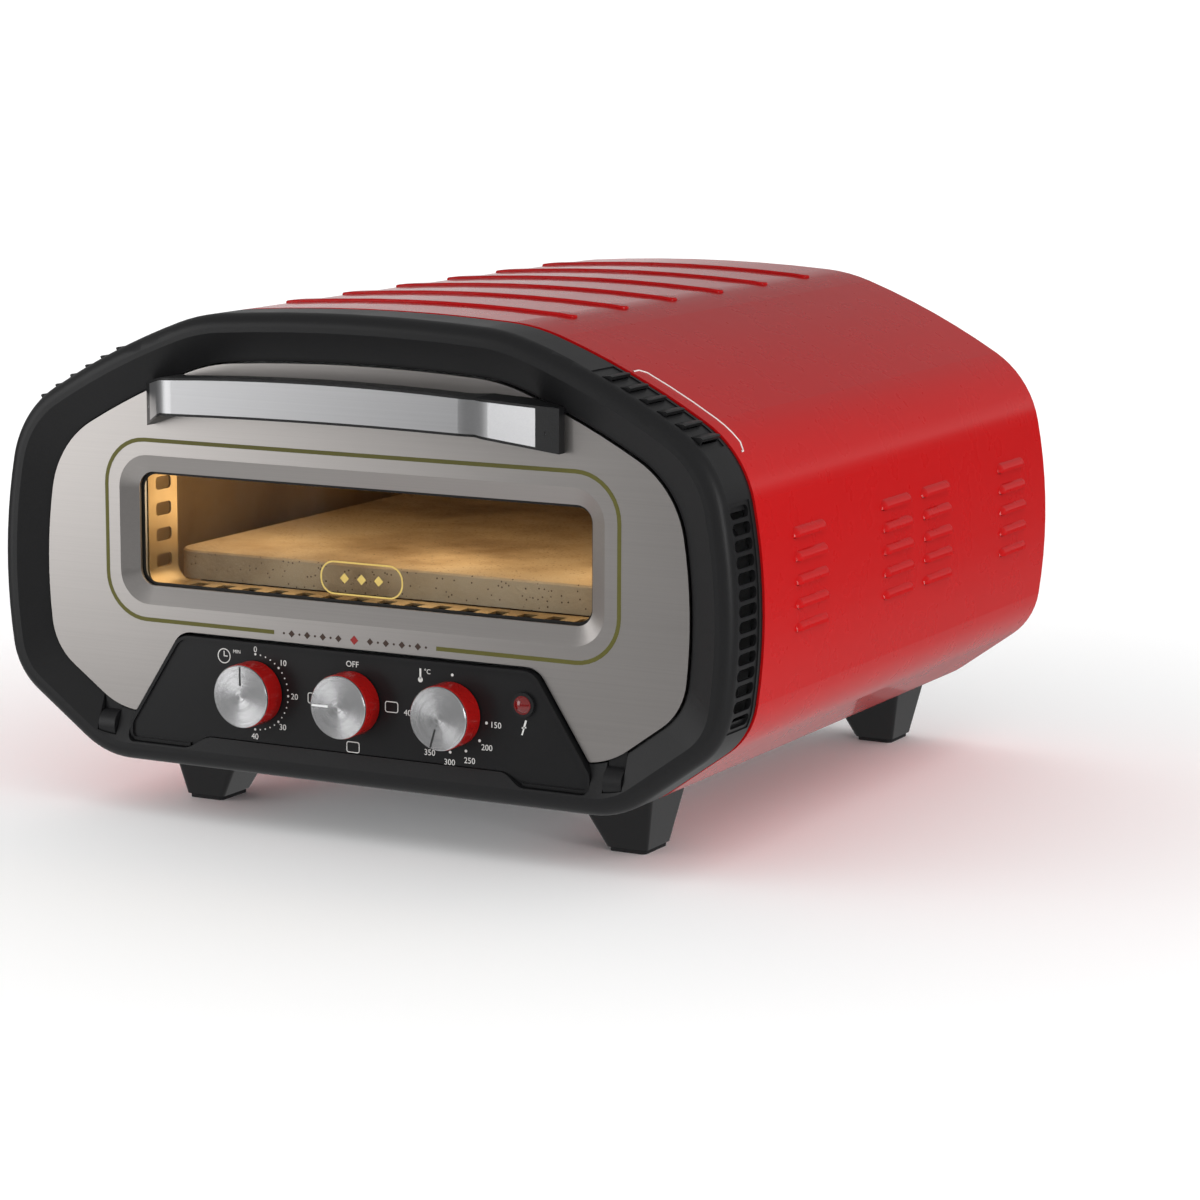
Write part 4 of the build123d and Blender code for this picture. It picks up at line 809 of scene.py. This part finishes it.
class OVEN_OT_stage(bpy.types.Operator):
    """Pale floor, soft lights and the camera"""
    bl_idname = "oven.stage"
    bl_label = "Stage"

    def sheet(self, context, name, half, height, paint):
        """Flat square that no reflection shows."""
        bm = bmesh.new()
        bmesh.ops.create_grid(bm, x_segments=1, y_segments=1, size=half)
        bmesh.ops.translate(bm, verts=bm.verts, vec=(0.0, 0.0, height))
        mesh = bpy.data.meshes.new(name)
        bm.to_mesh(mesh)
        bm.free()
        mesh.materials.append(paint.material)
        made = bpy.data.objects.new(name, mesh)
        made.visible_glossy = False
        context.scene.collection.objects.link(made)
        return made

    def floor(self, context):
        paint = Finish("floor_paint", Base_Color=(0.99, 0.99, 0.99), Roughness=0.6,
                       Specular_IOR_Level=0.0)
        floor = self.sheet(context, "floor", FLOOR_HALF, 0.0, paint)

    def card(self, context):
        """Dark card over the oven that keeps the light off its top."""
        paint = Finish("card", Base_Color=(0.03, 0.03, 0.03), Roughness=0.9,
                       Specular_IOR_Level=0.0)
        card = self.sheet(context, "shade_card", CARD_HALF, CARD_HEIGHT, paint)
        card.visible_camera = False

    def area(self, context, name, place, target, size, power):
        light = bpy.data.lights.new(name, "AREA")
        light.shape = "RECTANGLE"
        light.size, light.size_y = size
        light.energy = power
        holder = bpy.data.objects.new(name, light)
        context.scene.collection.objects.link(holder)
        holder.location = place
        aim = Vector(target) - Vector(place)
        holder.rotation_euler = aim.to_track_quat("-Z", "Y").to_euler()

    def chamber(self, context):
        """Warm lights under the roof of the chamber."""
        low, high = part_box("chamber_liner")
        for x in CHAMBER_LIGHTS_X:
            glow = bpy.data.lights.new("chamber", "POINT")
            glow.energy = CHAMBER_POWER
            glow.color = CHAMBER_COLOUR
            glow.shadow_soft_size = 0.03
            lamp = bpy.data.objects.new("chamber", glow)
            lamp.location = (x, low.y + CHAMBER_LIGHT_BACK, high.z - CHAMBER_LIGHT_DROP)
            context.scene.collection.objects.link(lamp)

    def execute(self, context):
        self.floor(context)
        for light in SOFT_LIGHTS:
            self.area(context, *light)
        self.card(context)
        self.chamber(context)
        self.dome(context)
        self.camera(context, context.scene.oven_stage)
        return {"FINISHED"}

    def dome(self, context):
        """White sky, dimmer in reflections, with a bright patch low behind on the left."""
        world = bpy.data.worlds.new("studio")
        world.use_nodes = True
        tree = world.node_tree
        sky = tree.nodes["Background"]
        sky.inputs["Color"].default_value = (1.0, 1.0, 1.0, 1.0)
        rays = tree.nodes.new("ShaderNodeLightPath")
        place = tree.nodes.new("ShaderNodeTexCoord")
        parts = tree.nodes.new("ShaderNodeSeparateXYZ")
        heights = tree.nodes.new("ShaderNodeValToRGB")
        gloss = context.scene.oven_stage.gloss
        stops = ((0.3, 0.5), (0.43, 0.12), (0.5, 0.05), (0.545, 0.05), (0.575, 2 * gloss),
                 (0.62, gloss), (1.0, gloss))
        while len(heights.color_ramp.elements) < len(stops):
            heights.color_ramp.elements.new(0.5)
        for element, (height, level) in zip(heights.color_ramp.elements, stops):
            element.position = height
            element.color = (level, level, level, 1.0)
        spread = tree.nodes.new("ShaderNodeMapRange")
        spread.inputs["From Min"].default_value = -1.0
        tree.links.new(place.outputs["Generated"], parts.inputs[0])
        tree.links.new(parts.outputs["Z"], spread.inputs["Value"])
        tree.links.new(spread.outputs["Result"], heights.inputs["Fac"])
        towards = tree.nodes.new("ShaderNodeVectorMath")
        towards.operation = "DOT_PRODUCT"
        towards.inputs[1].default_value = GLARE_TOWARDS
        tree.links.new(place.outputs["Generated"], towards.inputs[0])
        glare = tree.nodes.new("ShaderNodeMapRange")
        glare.interpolation_type = "SMOOTHSTEP"
        glare.inputs["From Min"].default_value = GLARE_EDGE
        glare.inputs["From Max"].default_value = GLARE_CORE
        tree.links.new(towards.outputs["Value"], glare.inputs["Value"])
        reflected = tree.nodes.new("ShaderNodeMath")
        tree.links.new(heights.outputs["Color"], reflected.inputs[0])
        tree.links.new(glare.outputs["Result"], reflected.inputs[1])
        strength = tree.nodes.new("ShaderNodeMix")
        strength.inputs[2].default_value = SKY_STRENGTH
        tree.links.new(rays.outputs["Is Glossy Ray"], strength.inputs[0])
        tree.links.new(reflected.outputs[0], strength.inputs[3])
        tree.links.new(strength.outputs[0], sky.inputs["Strength"])
        context.scene.world = world
        context.scene.view_settings.view_transform = "Standard"

    def camera(self, context, settings):
        data = bpy.data.cameras.new("camera")
        data.lens = settings.lens
        data.sensor_width = 36.0
        data.shift_x, data.shift_y = settings.shift_x, settings.shift_y
        camera = bpy.data.objects.new("camera", data)
        context.scene.collection.objects.link(camera)
        turn, rise = settings.azimuth, settings.elevation
        back = Vector((sin(turn) * cos(rise), -cos(turn) * cos(rise), sin(rise)))
        aim = Vector((0.0, -0.001, settings.aim_height))
        camera.location = aim + back * settings.distance
        camera.rotation_euler = (-back).to_track_quat("-Z", "Y").to_euler()
        context.scene.camera = camera


class OVEN_PT_panel(bpy.types.Panel):
    """Shows a button for each step, and the colours, sizes and stage settings"""
    bl_label = "Pizza Oven"
    bl_idname = "OVEN_PT_panel"
    bl_space_type = "VIEW_3D"
    bl_region_type = "UI"
    bl_category = "Pizza Oven"

    def draw(self, context):
        for operator in OPERATORS:
            self.layout.operator(operator.bl_idname)
        for group in (context.scene.oven_colours, context.scene.oven_trim,
                      context.scene.oven_stage):
            for name in group.__annotations__:
                self.layout.prop(group, name)


OPERATORS = (OVEN_OT_finishes, OVEN_OT_door_line, OVEN_OT_door_ornament, OVEN_OT_glass_badge,
             OVEN_OT_window_edge, OVEN_OT_timer_scale, OVEN_OT_selector_signs,
             OVEN_OT_thermostat_scale, OVEN_OT_power_sign, OVEN_OT_pointers, OVEN_OT_casing_line,
             OVEN_OT_stage)
GROUPS = (OvenColours, TrimSizes, StageSettings)


def register():
    for item in GROUPS + OPERATORS + (OVEN_PT_panel,):
        bpy.utils.register_class(item)
    bpy.types.Scene.oven_colours = bpy.props.PointerProperty(type=OvenColours)
    bpy.types.Scene.oven_trim = bpy.props.PointerProperty(type=TrimSizes)
    bpy.types.Scene.oven_stage = bpy.props.PointerProperty(type=StageSettings)


def unregister():
    del bpy.types.Scene.oven_colours
    del bpy.types.Scene.oven_trim
    del bpy.types.Scene.oven_stage
    for item in reversed(GROUPS + OPERATORS + (OVEN_PT_panel,)):
        bpy.utils.unregister_class(item)


def main():
    register()
    for operator in OPERATORS:
        category, name = operator.bl_idname.split(".")
        getattr(getattr(bpy.ops, category), name)()


if __name__ == "__main__":
    main()
